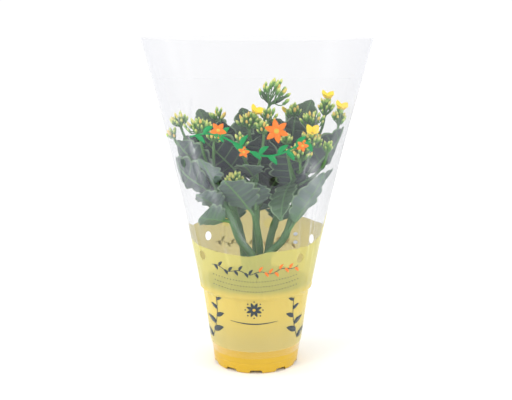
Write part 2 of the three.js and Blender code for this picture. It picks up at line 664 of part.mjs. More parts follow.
// The film follows the pot's wall up, steps out over its lip and opens to the mouth
function sleeveGeometry() {
  const sides = 36;
  const lipBottom = POT_HEIGHT - POT_LIP;
  const ringOf = (z, inset) => {
    const { halfWidth, halfDepth, corner, lean } = filmSection(z);
    const cling = z < lipBottom
      ? POT_RIM_R - mix(POT_FOOT_R, POT_WALL_TOP_R, (z - 1) / (lipBottom - 3)) : 0;
    return Array.from({ length: sides }, (_, k) => {
      const angle = (2 * Math.PI * k) / sides;
      const rise = Math.sign(Math.sin(angle)) * Math.abs(Math.sin(angle)) ** corner;
      return new THREE.Vector3(
        (halfWidth - cling - inset) * Math.cos(angle), (halfDepth - cling - inset) * rise, z,
      ).applyAxisAngle(UP, radians(FILM_TURN)).add(new THREE.Vector3(lean, 0, 0));
    });
  };
  const middle = mix(FILM_RIM_Z, FILM_TOP, 0.48);
  const heights = [FILM_BOTTOM, lipBottom - 2.5, lipBottom, FILM_RIM_Z, middle, FILM_TOP];
  const outer = heights.map((z) => ringOf(z, 0));
  const inner = heights.map((z) => ringOf(z, FILM_THICKNESS)).reverse();
  const rings = [...outer, ...inner];
  const points = rings.flat();
  const triangles = [];
  rings.forEach((ring, i) => {
    const a = i * sides;
    const b = ((i + 1) % rings.length) * sides;
    for (let k = 0; k < sides; k += 1) {
      const next = (k + 1) % sides;
      triangles.push(a + k, a + next, b + next, a + k, b + next, b + k);
    }
  });
  let film = toSolid(closedGeometry(points, triangles));
  for (const { z, at, panels } of VENTS) {
    const { halfWidth, halfDepth } = filmSection(z);
    for (const degrees of at) {
      for (const panel of panels) {
        const angle = radians(degrees + panel + FILM_TURN - 90);
        const reach = Math.hypot(halfWidth * Math.cos(angle), halfDepth * Math.sin(angle));
        const punch = new THREE.CylinderGeometry(VENT_R, VENT_R, 16, 8)
          .rotateZ(Math.PI / 2)
          .translate(reach, 0, 0)
          .rotateZ(angle)
          .translate(0, 0, z);
        film = film.subtract(toSolid(punch));
      }
    }
  }
  return toGeometry(mainBody(film));
}

const plant = new THREE.Group();
function add(name, geometry, finish) {
  const mesh = new THREE.Mesh(geometry, finish);
  mesh.name = name;
  plant.add(mesh);
}

add('pot', potGeometry(), POT_YELLOW);
add('soil', soilGeometry(), SOIL_BROWN);
for (const stem of STEMS) add(stem.name, stemGeometry(stem), LEAF_GREEN);
Object.entries(HEADS).forEach(([name, head], seed) => {
  add(`bud_head_${name}`, headGeometry(head, seed), BUD_GREEN);
  if (head.open) add(`open_flower_${name}`, openFlowerGeometry(head), PETAL_YELLOW);
});
add('film_sleeve', sleeveGeometry(), FILM_CLEAR);

export default plant;
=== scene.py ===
"""A flaming katy in bud, in its yellow nursery pot and its clear conical film sleeve.

Every piece is made from the plant's own tables below, in millimetres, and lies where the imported
solid that it stands for lies: +Z up, the origin under the pot's axis, -Y the front, +X the right.
"""

import math

import bpy
import numpy as np
from bpy.props import FloatProperty, FloatVectorProperty, PointerProperty
from bpy.types import Operator, Panel, PropertyGroup
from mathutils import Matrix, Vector


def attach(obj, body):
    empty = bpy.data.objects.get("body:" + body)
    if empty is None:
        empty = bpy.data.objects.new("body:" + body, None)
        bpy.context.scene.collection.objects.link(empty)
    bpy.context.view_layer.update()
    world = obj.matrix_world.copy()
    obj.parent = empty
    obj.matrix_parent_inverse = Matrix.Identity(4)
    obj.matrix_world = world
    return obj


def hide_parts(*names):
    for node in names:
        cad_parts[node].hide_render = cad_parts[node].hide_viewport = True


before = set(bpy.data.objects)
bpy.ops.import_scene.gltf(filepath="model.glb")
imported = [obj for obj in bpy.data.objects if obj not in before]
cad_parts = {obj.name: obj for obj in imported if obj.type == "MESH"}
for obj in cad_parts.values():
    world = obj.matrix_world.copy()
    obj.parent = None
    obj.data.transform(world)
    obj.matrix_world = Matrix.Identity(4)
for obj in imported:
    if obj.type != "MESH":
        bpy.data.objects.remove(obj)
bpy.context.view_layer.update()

bl_info = {
    "name": "Potted flaming katy",
    "version": (1, 0, 0),
    "blender": (4, 5, 0),
    "location": "3D view > Sidebar > Flaming katy",
    "description": "Dresses a flaming katy in bud, its nursery pot and its film sleeve",
    "category": "Add Mesh",
}

MM = 0.001
TAU = 2 * math.pi

# Pot and soil, millimetres
POT_HEIGHT = 92
POT_RIM_R = 60
POT_WALL_TOP_R = 57
POT_FOOT_R = 45.4
POT_WALL = 1.6
LIP_BOTTOM = 88
LIP_INNER_R = 55.6
FOOT_HEIGHT = 4
FOOT_NOTCHES = 10
DRAIN_HOLES = 6
DRAIN_R = 4.5
DRAIN_RING_R = 27
POT_LINE = 10
NOTCH_REACH = (36, 50)
POT_SIDES = 200
SOIL_TOP = 83
STEM_HOLE_R = 5.4
SOIL_SIDES = 140
INSIDE_LOW = 7.2
CRUMB_SEED = 4

# Sleeve, millimetres and degrees
FILM_BOTTOM = 17.8
FILM_TOP = 351.4
FILM_RIM_Z = 91
FILM_RIM_R = 61.25
FILM_INSET = 0.2
FILM_MOUTH_HALF_WIDTH = 122.4
FILM_MOUTH_HALF_DEPTH = 86
FILM_FLARE = 0.19
FILM_CORNER = 0.3
FILM_LEAN = -1.6
FILM_TURN = -7
FILM_CLEARANCE = 2.2
FREE_SHARE = 0.86
FLOWER_ROOM = 2.4
FLOWER_ROOM_FLARE = 0.4
VENT_R = 5
FRONT, BACK = 0, 180
# Height, degrees off the middle of a panel, and the panels that have them
VENTS = [
    (226, (-58, 64), (FRONT, BACK)), (213, (-24, 21), (FRONT, BACK)), (170, (-19, 17.5), (FRONT, BACK)),
    (128, (-50.5, 50.5), (FRONT,)), (130, (-60, 60), (BACK,)),
]
VENT_SIDES = 28
PUNCH_REACH = 9
FILM_COLUMNS = 264
# Rows of points up the film: from, to and how many
FILM_ROWS = [(FILM_BOTTOM, 82, 16), (82, 96, 12), (96, FILM_TOP, 104)]

# Soft folds of the film: from (degrees round, z) to (degrees round, z), height and width in
# millimetres. 0 degrees is the right seam, -90 the middle of the front, +90 of the back.
FILM_FOLDS = [
    (-128, 292, -117, 214, 1.3, 3.2), (-123, 284, -113, 222, -1.1, 2.6), (-134, 250, -120, 176, 1.2, 3.4),
    (-52, 178, -44, 118, 1.4, 2.8), (-47, 186, -40, 124, -1.2, 2.4), (-38, 190, -34, 120, 1.2, 2.6),
    (-104, 182, -86, 104, 1.0, 3.0), (-97, 168, -80, 98, -0.8, 2.4), (-64, 300, -70, 200, 0.8, 4.0),
    (-150, 230, -140, 120, 1.2, 3.0), (-112, 112, -98, 60, 0.5, 2.6), (-82, 108, -74, 84, 0.7, 2.0),
    (-28, 320, -30, 210, 0.9, 4.0), (-145, 330, -138, 260, 0.8, 4.0),
    (60, 190, 48, 110, 1.3, 3.0), (96, 178, 88, 104, -1.0, 2.6), (124, 200, 130, 112, 1.3, 3.2),
    (75, 300, 80, 200, 0.8, 4.0), (140, 280, 128, 200, 1.0, 3.4), (30, 270, 38, 180, 1.1, 3.2),
]

# Painted highlights along the film's creases, and wide patches of painted sheen where leaves press on it,
# laid out as the folds are: strength and half width in millimetres
FILM_CREASE_HIGHLIGHTS = [
    (-140, 270, -129, 228, 0.32, 1.1), (-139, 264, -124, 182, 0.12, 4.5), (-128, 300, -137, 250, 0.16, 1.6),
    (-142, 238, -130, 160, 0.1, 7.0), (-122, 214, -112, 172, 0.07, 7.0), (-118, 236, -116, 205, 0.07, 8.0),
    (-140, 292, -146, 262, 0.25, 1.2), (-108, 186, -84, 128, 0.12, 2.4), (-33, 188, -28, 118, 0.2, 1.8),
    (-27, 200, -24, 124, 0.2, 1.4), (-38, 262, -46, 206, 0.13, 2.0), (-40, 284, -34, 236, 0.1, 1.8),
    (-22, 178, -20, 104, 0.16, 1.6), (-40, 240, -28, 186, 0.1, 9.0), (-46, 220, -32, 156, 0.09, 7.0),
    (-112, 148, -104, 96, 0.08, 2.0),
    (50, 230, 42, 130, 0.2, 2.0), (84, 250, 92, 170, 0.14, 2.4), (118, 220, 130, 120, 0.22, 2.0),
    (66, 190, 60, 110, 0.14, 1.6), (138, 260, 132, 180, 0.2, 1.8),
]

# Height of the print's upper edge round the sleeve: degrees and millimetres
PRINT_TOP = [(-180, 152), (-168, 142), (-150, 138.5), (-120, 136.5), (-88, 134), (-72, 138.5), (-30, 140),
             (-10, 146), (0, 170), (8, 152), (30, 150), (60, 152), (90, 158), (120, 153), (150, 149),
             (170, 147), (180, 152)]
PRINT_BOTTOM = 25.7
SEAM_WELD = 4.5

# The print, millimetres
INK_THICKNESS = 0.1
INK_LIFT = 0.06
EYE_LIFT = 0.14
ROSETTE_AT = (-2, 74.5)
# Across, up, radius and petals
FRONT_BLOSSOMS = [(20, 264, 12.5, 6), (-37, 264, 8.5, 5), (46, 248, 6.5, 5), (-12, 243, 6, 5)]
DOT_ROWS = (110.5, 105, 99.5)
ROW_DOTS = 30

# Plant, millimetres
LEAF_CUP = 0.2
LEAF_ROWS = 104
PETIOLE_ROWS = 6
LOBES = 4.76
LOBE_START = 0.264
LEAF_EDGE = 0.8
RIB_THICKNESS = 2.4
RIB_TIP_THICKNESS = 1.2
PETIOLE_SHARE = 0.2
PETIOLE_WIDTH = 4
PETIOLE_THICKNESS = 3.6
SIDE_VEINS = 6.5
STEM_R = 5
STEM_TIP_R = 2.8
STEM_SIDES = 20
STALK_R = 1.5
STALK_SIDES = 12
FORK_SIDES = 7
STALK_TOP = 0.985
STALK_STEP = 0.03
STALK_POINTS = 6
BESIDE_AXIS = 1.4
BUD_LENGTH = 8
BUD_SIDES = 8
GOLDEN_ANGLE = math.radians(137.5)
FLOWER_TUBE = 5.6
FLOWER_TUBE_SIDES = 16
PETALS = 4
STAMEN_SIDES = 6
PETAL_LENGTH = 8
PETAL_WIDTH = 8.4
PETAL_RISE = 0.8
PETAL_TURN = 0.5
PETAL_FOOT = 0.22

# Each stem: its path from the root end up, its leaves and the heads whose stalks it carries. A leaf is
# (at, tip, width, bow, face, tone): the height share where it leaves the stem, its tip, its width, how
# far it bows, where its upper face looks if not in to the stems, and how bright a green it is: painted
# light and shade, lighter for the sheen of leaves at the front and darker for leaves in shade.
STEMS = {
    "left_front": (
        [(-9, -10, 62), (-5, -14, 98), (-4, -24, 123), (-18, -25, 143), (-26, -24, 165), (-38, -21, 190),
         (-46, -13, 214)],
        [(0.64, (-63, -40, 169), 42, 0.06, None, 0.8), (0.72, (-63, -33, 192), 42, 0.06, None, 0.7),
         (0.81, (-104, -12, 225), 42, 0.06, (0.8, 1, 0.4), 0.3),
         (0.88, (-86, -9, 245), 42, 0.06, (0.7, 1, 0.3), 0.35),
         (0.87, (-57, -43, 231), 32, 0.1, None, 0.95)],
        ["far_left", "far_left_low", "left", "left_low"]),
    "centre_front": (
        [(0, 0, 62), (1, -3, 94), (4, -14, 128), (0, -20, 160), (-1, -17, 190), (0, -13, 216)],
        [(0.64, (-32, -58, 211), 44, 0.08, None, 0.75), (0.68, (0, -42, 206), 31, 0.08, None, 0.6),
         (0.84, (-63, -7, 253), 50, 0.04, (0.3, 1, 0.3), 0.1),
         (0.92, (-13, -48, 225), 30, 0.12, (0, 0.3, 1), 0.75)],
        ["centre_low", "centre_small", "front_low"]),
    "right_front": (
        [(10, -10, 62), (7, -14, 98), (11, -24, 123), (28, -24, 141), (36, -21, 160), (42, -17, 188),
         (43, -9, 216)],
        [(0.94, (26, -55, 169), 34, 0.25, (-0.8, -0.8, 0.5), 0.85),
         (0.55, (75, -35, 215), 44, 0.06, None, 0.9),
         (0.82, (31, -17, 241), 42, 0.04, (0.1, 1, 0.2), 0.1),
         (0.9, (104, -12, 259), 42, 0.06, (-0.6, 1, 0.5), 0.3), (0.77, (90, -8, 214), 38, 0.08, None, 0.35)],
        ["right_front", "right", "right_small", "right_low"]),
    "left_back": (
        [(-11, 7, 62), (-11, 8, 92), (-15, 14, 130), (-24, 20, 165), (-32, 24, 200), (-35, 25, 222)],
        [(0.92, (-63, 36, 273), 48, 0.06, None, 1.0), (0.78, (-38, 9, 264), 42, 0.04, (0.2, -1, 0.2), 0.15),
         (0.62, (-74, 20, 198), 42, 0.08, (0.8, -0.3, 0.5), 0.5),
         (0.74, (-38, 62, 214), 44, 0.08, None, 0.3),
         (0.84, (-80, 26, 244), 34, 0.06, None, 0.4), (0.5, (-36, 50, 166), 38, 0.08, None, 0.5),
         (0.62, (-40, 9, 211), 38, 0.04, (0.2, -1, 0.2), 0.1)],
        ["left_back", "back_left_side", "back_left"]),
    "centre_back": (
        [(0, 14, 62), (0, 15, 92), (0, 18, 130), (0, 19, 165), (-2, 17, 205), (0, 14, 236)],
        [(0.7, (8, -3, 250), 50, 0.06, (0, -1, 0.2), 0.1),
         (0.84, (24, 10, 266), 42, 0.04, (0, -1, 0.2), 0.45),
         (0.9, (-15, 34, 275), 36, 0.06, None, 0.7), (0.74, (0, 66, 222), 46, 0.08, None, 0.3),
         (0.56, (6, 62, 176), 40, 0.08, None, 0.5),
         (0.6, (30, 3, 214), 46, 0.04, (0, -1, 0.2), 0.1)],
        ["centre", "centre_right", "tallest", "back_centre"]),
    "right_back": (
        [(11, 7, 62), (11, 8, 92), (15, 13, 130), (25, 18, 165), (33, 22, 200), (37, 24, 226)],
        [(0.92, (61, 42, 283), 48, 0.06, None, 0.95), (0.8, (42, 14, 268), 44, 0.04, (-0.2, -1, 0.2), 0.4),
         (0.62, (76, 16, 196), 42, 0.08, (-0.8, -0.3, 0.5), 0.45),
         (0.74, (36, 64, 212), 44, 0.08, None, 0.35),
         (0.82, (85, 16, 240), 34, 0.06, None, 0.4), (0.5, (38, 48, 164), 38, 0.08, None, 0.5),
         (0.88, (24, 44, 262), 34, 0.06, None, 0.3)],
        ["right_back", "right_high", "right_top", "far_right", "back_right", "back_right_side"]),
}

# The tips of the small leaves at the foot of a loose head, whose buds are fewer and larger
BRACTS = {"tallest": [(4, 10, 297), (33, 10, 290)]}
BRACT_WIDTH = 5
BRACT_THICKNESS = 1.4
LOOSE_CROWDING = 1.2
LOOSE_BUD_SIZE = 1.15

# Each head: where its stalk ends, the axis it points along, its height, spread and number of buds, and
# the place of its open flower, if it has one
HEADS = {
    "far_left": ((-79, -2, 258), (-0.3, -0.1, 1), 14, 9, 9, None),
    "far_left_low": ((-86, -6, 247), (-0.4, -0.2, 1), 11, 5, 5, None),
    "left": ((-58, -26, 254), (-0.1, -0.2, 1), 16, 14, 14, None),
    "left_low": ((-43, -33, 247), (0.1, -0.3, 1), 12, 7, 6, None),
    "left_back": ((-41, 28, 260), (0, 0, 1), 13, 8, 7, None),
    "back_left_side": ((-53, 40, 238), (-0.2, 0.2, 1), 13, 9, 6, None),
    "back_left": ((-32, 52, 236), (-0.1, 0.1, 1), 13, 10, 7, None),
    "centre": ((-7, -6, 257), (0, -0.2, 1), 16, 12, 13, (-2, -11, 270)),
    "centre_right": ((13, -2, 264), (0.1, -0.1, 1), 13, 9, 7, None),
    "tallest": ((14, 13, 279), (0.4, 0, 1), 27, 17, 16, None),
    "back_centre": ((4, 55, 238), (0, 0.1, 1), 13, 10, 7, None),
    "centre_low": ((8, -24, 254), (0, -0.2, 1), 12, 7, 6, None),
    "centre_small": ((-15, -34, 244), (0, -0.4, 1), 11, 6, 5, None),
    "front_low": ((-22, -36, 204), (-0.1, -0.1, 1), 11, 9, 11, None),
    "right_front": ((45, -40, 226), (-0.1, -0.2, 1), 20, 12, 13, None),
    "right": ((56, -25, 239), (0, -0.2, 1), 17, 12.6, 15, (57, -33, 252)),
    "right_small": ((31, -27, 243), (-0.1, -0.1, 1), 12, 6, 6, None),
    "right_low": ((73, -31, 235), (0.1, -0.1, 1), 11, 4, 4, None),
    "right_back": ((41, 25, 265), (0, 0, 1), 14, 9, 7, None),
    "right_high": ((60, 4, 259), (0, 0, 1), 14, 12, 10, None),
    "right_top": ((73, 14, 266), (0.1, 0, 1), 21, 8, 10, (75, 11, 283)),
    "far_right": ((87, 2, 258), (0.1, 0, 1), 20, 6.6, 10, (89, -2, 273)),
    "back_right": ((32, 52, 240), (0.1, 0.1, 1), 13, 10, 7, (34, 55, 262)),
    "back_right_side": ((62, 33, 240), (0.2, 0.2, 1), 13, 8, 6, None),
}

# Stage: the floor in millimetres and the rest in metres. Each soft box has its name, place, width,
# height and the setting that holds its power.
FLOOR_R = 4000
FLOOR_SIDES = 96
FLOOR_HEIGHTS = (-12, -0.2)
SOFT_BOXES = [
    ("key", (-0.9, -1.0, 1.1), 0.5, 0.7, "key_light"),
    ("left", (-1.1, -0.1, 0.45), 0.25, 0.9, "rim_light"),
    ("right", (1.0, -0.5, 0.5), 0.2, 0.8, "rim_light"),
]
LIGHT_AIM = (0, 0, 0.18)
CAMERA_AT = (0, -1.0, 0.387)
CAMERA_AIM = (0, 0, 0.1795)
SENSOR_WIDTH = 36

# Colours that don't change with the plant
SCUFF_COLOUR = (0.95, 0.8, 0.4)
FIBRE_COLOUR = (0.14, 0.09, 0.05)
# Colour of the painted highlights along the film's creases
CREASE_HIGHLIGHT_COLOUR = (0.92, 0.93, 0.95)
EDGE_ON_COLOUR = (0.9, 0.91, 0.93)
INKS = {"ink_green": (0.012, 0.27, 0.08), "ink_orange": (0.82, 0.2, 0.03), "ink_dark": (0.035, 0.05, 0.06),
        "ink_gold": (0.62, 0.42, 0.06), "ink_grey": (0.4, 0.42, 0.44)}
GREEN, ORANGE, DARK, GOLD, GREY = range(len(INKS))


def draw(a, b):
    """The same small even draw for the same pair of numbers, from 0 to 1."""
    wave = math.sin(a * 12.9898 + b * 78.233) * 437.585
    return wave - math.floor(wave)


def unit(vectors):
    """The vectors, each made one long."""
    vectors = np.asarray(vectors, float)
    return vectors / np.maximum(np.linalg.norm(vectors, axis=-1, keepdims=True), 1e-12)


def mix(a, b, share):
    """From a to b by a share."""
    return a + (b - a) * share


def ease(low, high, value):
    """A soft step from 0 at low to 1 at high."""
    share = np.clip((value - low) / (high - low), 0, 1)
    return share * share * (3 - 2 * share)


def spline_at(path, t):
    """Points of a Catmull-Rom curve through the path, t from 0 to 1."""
    path = np.asarray(path, float)
    last = len(path) - 1
    place = np.clip(np.atleast_1d(np.asarray(t, float)), 0, 1) * last
    i = np.minimum(place.astype(int), last - 1)
    w = (place - i)[:, None]
    padded = np.vstack([2 * path[0] - path[1], path, 2 * path[-1] - path[-2]])
    before, start, end, after = (padded[i + k] for k in range(4))
    leave, arrive = (end - before) / 2, (after - start) / 2
    return ((2 * start - 2 * end + leave + arrive) * w ** 3
            + (3 * end - 3 * start - 2 * leave - arrive) * w ** 2 + leave * w + start)


def bend_at(start, middle, end, t):
    """Points of a quadratic curve, t from 0 to 1."""
    t = np.asarray(t, float)[..., None]
    start, middle, end = (np.asarray(p, float) for p in (start, middle, end))
    return start * (1 - t) ** 2 + middle * 2 * t * (1 - t) + end * t ** 2


def across_axes(axis):
    """Two directions square to an axis and to each other."""
    axis = unit(axis)
    side = unit(np.array([1.0, 0, 0]) - axis * axis[0])
    return side, np.cross(axis, side)


def around(side, other, angle):
    """The direction at an angle between two directions."""
    return side * math.cos(angle) + other * math.sin(angle)


def compass(angle):
    """The level directions out along an angle and to the left of it."""
    out = np.array([math.cos(angle), math.sin(angle), 0])
    return out, np.array([-out[1], out[0], 0])


def round_angles(sides):
    """Even angles all round."""
    return np.arange(sides) * TAU / sides


def level_ring(radius, z, angles):
    """A level ring of points at a height."""
    x, y = radius * np.cos(angles), radius * np.sin(angles)
    return np.stack(np.broadcast_arrays(x, y, z), axis=-1)


def tube_rings(centres, radii, sides):
    """Rings of points square to a line of centres, carried along it without twist."""
    centres = np.asarray(centres, float)
    tangents = unit(np.gradient(centres, axis=0))
    side = across_axes(tangents[0])[0]
    angles = round_angles(sides)
    rings = []
    for centre, tangent, radius in zip(centres, tangents, np.broadcast_to(radii, len(centres))):
        side = unit(side - tangent * np.dot(side, tangent))
        other = np.cross(tangent, side)
        rings.append(centre + radius * (np.outer(np.cos(angles), side) + np.outer(np.sin(angles), other)))
    return np.array(rings)


class Skin:
    """Closed tubes gathered into one mesh. "place" and "rim" are values at each point."""

    def __init__(self):
        self.points, self.faces, self.slots, self.place, self.rim = [], [], [], [], []
        self.count = 0

    def add(self, points, faces, slots=0, place=(0, 0, 0), rim=0):
        """Adds a closed body, turned so that its faces point outwards."""
        points = np.asarray(points, float)
        faces = [list(face) for face in faces]
        middle = points.mean(axis=0)
        volume = 0.0
        for corners in {len(face) for face in faces}:
            same = np.array([face for face in faces if len(face) == corners])
            for k in range(1, corners - 1):
                a, b, c = (points[same[:, i]] - middle for i in (0, k, k + 1))
                volume += np.einsum("ij,ij->", a, np.cross(b, c))
        if volume < 0:
            faces = [face[::-1] for face in faces]
        self.faces += [[corner + self.count for corner in face] for face in faces]
        self.slots += list(np.broadcast_to(slots, len(faces)))
        self.points.append(points)
        self.place.append(np.broadcast_to(place, points.shape))
        self.rim.append(np.broadcast_to(rim, len(points)))
        self.count += len(points)

    def tube(self, rings, slots=0, place=(0, 0, 0), rim=0, ends=None):
        """Adds a tube through rings of equal size, with a point over the middle of each end."""
        rows, sides = rings.shape[:2]
        flat = rings.reshape(-1, 3)
        ends = rings[[0, -1]].mean(axis=1) if ends is None else np.asarray(ends, float)
        index = np.arange(rows * sides).reshape(rows, sides)
        right = np.roll(index, -1, axis=1)
        faces = np.stack([index[:-1], right[:-1], right[1:], index[1:]], axis=-1).reshape(-1, 4).tolist()
        slots = np.tile(np.broadcast_to(slots, sides), rows - 1).tolist()
        for end, ring, pole in ((0, index[0], rows * sides), (1, index[-1], rows * sides + 1)):
            following = np.roll(ring, -1)
            pairs = zip(ring, following) if end else zip(following, ring)
            faces += [[int(a), int(b), pole] for a, b in pairs]
            slots += [slots[0]] * sides
        place = np.broadcast_to(place, rings.shape).reshape(-1, 3)
        place = np.vstack([place, place[[0, -1]]])
        rim = np.broadcast_to(rim, (rows, sides)).reshape(-1)
        self.add(np.vstack([flat, ends]), faces, slots, place, np.append(rim, rim[[0, -1]]))

    def mesh(self, name, sharp=180):
        """The gathered bodies as one smooth mesh in metres."""
        mesh = bpy.data.meshes.new(name)
        mesh.from_pydata((np.vstack(self.points) * MM).tolist(), [], self.faces)
        mesh.polygons.foreach_set("material_index", np.array(self.slots, np.int32))
        mesh.polygons.foreach_set("use_smooth", np.ones(len(self.faces), bool))
        point_values(mesh, "place", np.vstack(self.place))
        point_values(mesh, "rim", np.concatenate(self.rim))
        if sharp < 180:
            mesh.set_sharp_from_angle(angle=math.radians(sharp))
        mesh.update()
        return mesh


def point_values(mesh, name, values):
    """Keeps a number or a vector at each point of a mesh."""
    values = np.asarray(values, np.float32)
    kind, field = ("FLOAT", "value") if values.ndim == 1 else ("FLOAT_VECTOR", "vector")
    layer = mesh.attributes.new(name, kind, "POINT")
    layer.data.foreach_set(field, values.reshape(-1))


def mesh_points(mesh):
    """A mesh's points in millimetres."""
    points = np.empty(len(mesh.vertices) * 3)
    mesh.vertices.foreach_get("co", points)
    return points.reshape(-1, 3) / MM


def new_object(name, data):
    """An object at the origin, in the scene."""
    thing = bpy.data.objects.new(name, data)
    bpy.context.scene.collection.objects.link(thing)
    return thing


def aim_at(thing, place, target):
    """Puts a light or a camera at a place, looking at a target."""
    thing.location = place
    thing.rotation_euler = (Vector(target) - thing.location).to_track_quat("-Z", "Y").to_euler()
    return thing


def as_piece(name, mesh, materials, slot, *nodes):
    """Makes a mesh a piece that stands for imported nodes, with its finish."""
    for material in materials:
        mesh.materials.append(material)
    piece = new_object(name, mesh)
    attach(piece, "root")
    if nodes:
        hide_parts(*nodes)
    return piece


def evaluated_mesh(thing):
    """The plain mesh that an object's modifiers make."""
    return bpy.data.meshes.new_from_object(thing.evaluated_get(bpy.context.evaluated_depsgraph_get()))


def cut_away(mesh, cutter_mesh):
    """The mesh with the cutter's space taken out."""
    body = new_object("body_to_cut", mesh)
    cutter = new_object("cutter", cutter_mesh)
    cut = body.modifiers.new("Cut", "BOOLEAN")
    cut.operation = "DIFFERENCE"
    cut.solver = "MANIFOLD"
    cut.object = cutter
    result = evaluated_mesh(body)
    for thing in (body, cutter):
        bpy.data.objects.remove(thing)
    result.materials.clear()
    return result


def grow(name, base_mesh, tree, inputs):
    """The plain mesh that a node tree makes of a base mesh. Inputs are given by their names."""
    carrier = new_object(name, base_mesh)
    modifier = carrier.modifiers.new("Grow", "NODES")
    modifier.node_group = tree
    for item in tree.interface.items_tree:
        if item.item_type == "SOCKET" and item.in_out == "INPUT" and item.name in inputs:
            modifier[item.identifier] = inputs[item.name]
    result = evaluated_mesh(carrier)
    bpy.data.objects.remove(carrier)
    return result


class Graph:
    """A node tree in the making: each call adds a node, with its inputs linked or set."""

    def __init__(self, tree):
        self.tree = tree

    def put(self, node, socket, value):
        """Links a value to a node's input, or sets it there."""
        if isinstance(value, bpy.types.NodeSocket):
            self.tree.links.new(value, node.inputs[socket])
        else:
            node.inputs[socket].default_value = value

    def add(self, kind, inputs=None, **settings):
        """Adds a node of a kind and gives it back."""
        node = self.tree.nodes.new(kind)
        for name, value in settings.items():
            setattr(node, name, value)
        for socket, value in (inputs or {}).items():
            self.put(node, socket, value)
        return node

    def math(self, operation, *values, clamp=False):
        """The result of a math node."""
        node = self.add("ShaderNodeMath", dict(enumerate(values)), operation=operation, use_clamp=clamp)
        return node.outputs[0]

    def plus(self, first, second, clamp=False):
        """A sum."""
        return self.math("ADD", first, second, clamp=clamp)

    def less(self, first, second):
        """A difference."""
        return self.math("SUBTRACT", first, second)

    def times(self, first, *others):
        """A product."""
        for other in others:
            first = self.math("MULTIPLY", first, other)
        return first

    def step(self, value, low, high):
        """A soft step of a value from 0 at low to 1 at high."""
        node = self.add("ShaderNodeMapRange", {"Value": value, "From Min": low, "From Max": high},
                        interpolation_type="SMOOTHSTEP")
        return node.outputs["Result"]

    def blend(self, share, first, second, how="MIX"):
        """A mix of two colours."""
        node = self.add("ShaderNodeMix", data_type="RGBA", blend_type=how)
        self.put(node, 0, share)
        for socket, value in ((6, first), (7, second)):
            self.put(node, socket, value if isinstance(value, bpy.types.NodeSocket) else (*value[:3], 1.0))
        return node.outputs[2]

    def spot(self):
        """The place on the object."""
        return self.add("ShaderNodeTexCoord").outputs["Object"]

    def split(self, vector):
        """The parts of a vector."""
        return self.add("ShaderNodeSeparateXYZ", {0: vector}).outputs

    def noise(self, scale, detail=3.0, roughness=0.55):
        """Cloudy noise on the object's own coordinates, from 0 to 1."""
        inputs = {"Vector": self.spot(), "Scale": scale, "Detail": detail, "Roughness": roughness}
        return self.add("ShaderNodeTexNoise", inputs).outputs["Fac"]

    def bump(self, height, strength, distance):
        """A normal from a height."""
        node = self.add("ShaderNodeBump", {"Height": height, "Strength": strength, "Distance": distance})
        return node.outputs["Normal"]

    def value_at(self, name):
        """A value kept at the mesh's points."""
        return self.add("ShaderNodeAttribute", attribute_name=name).outputs

    def surface(self, tint, roughness, specular, **more):
        """A surface shader. More of its inputs are given by their names, with _ for a space."""
        inputs = {"Base Color": tint, "Roughness": roughness, "Specular IOR Level": specular}
        inputs.update({name.replace("_", " "): value for name, value in more.items()})
        return self.add("ShaderNodeBsdfPrincipled", inputs).outputs[0]

    def random(self, low, high, seed):
        """A random vector between two."""
        node = self.add("FunctionNodeRandomValue", {"Min": low, "Max": high, "Seed": seed},
                        data_type="FLOAT_VECTOR")
        return node.outputs[0]

    def show(self, shader):
        """Ends a material's graph with its shader."""
        self.add("ShaderNodeOutputMaterial", {"Surface": shader})


def new_finish(name):
    """A new material and its empty graph."""
    material = bpy.data.materials.new(name)
    material.use_nodes = True
    material.node_tree.nodes.clear()
    return material, Graph(material.node_tree)


def shaded(rgb, share):
    """A colour made darker or lighter by a share."""
    return [min(1, part * share) for part in rgb]


def pot_plastic(settings):
    """Glossy moulded plastic with a faint orange peel and scuffs."""
    material, graph = new_finish("pot_plastic")
    cloud = graph.noise(18, 2)
    scuffs = graph.step(graph.noise(420, 4, 0.7), 0.58, 0.72)
    tint = graph.blend(cloud, shaded(settings.pot_colour, 0.93), shaded(settings.pot_colour, 1.05))
    tint = graph.blend(graph.times(scuffs, 0.08), tint, SCUFF_COLOUR)
    rough = graph.plus(0.3, graph.times(scuffs, 0.15))
    graph.show(graph.surface(tint, rough, 0.4, Normal=graph.bump(graph.noise(700, 2), 0.06, 0.0004)))
    return material


def peat(settings):
    """Dark crumbly peat with paler fibres."""
    material, graph = new_finish("peat")
    coarse = graph.noise(300, 6, 0.7)
    specks = graph.step(graph.noise(900, 3, 0.6), 0.6, 0.72)
    tint = graph.blend(coarse, shaded(settings.soil_colour, 0.5), shaded(settings.soil_colour, 1.6))
    tint = graph.blend(graph.times(specks, 0.5), tint, FIBRE_COLOUR)
    graph.show(graph.surface(tint, 0.92, 0.2, Normal=graph.bump(coarse, 0.8, 0.001)))
    return material


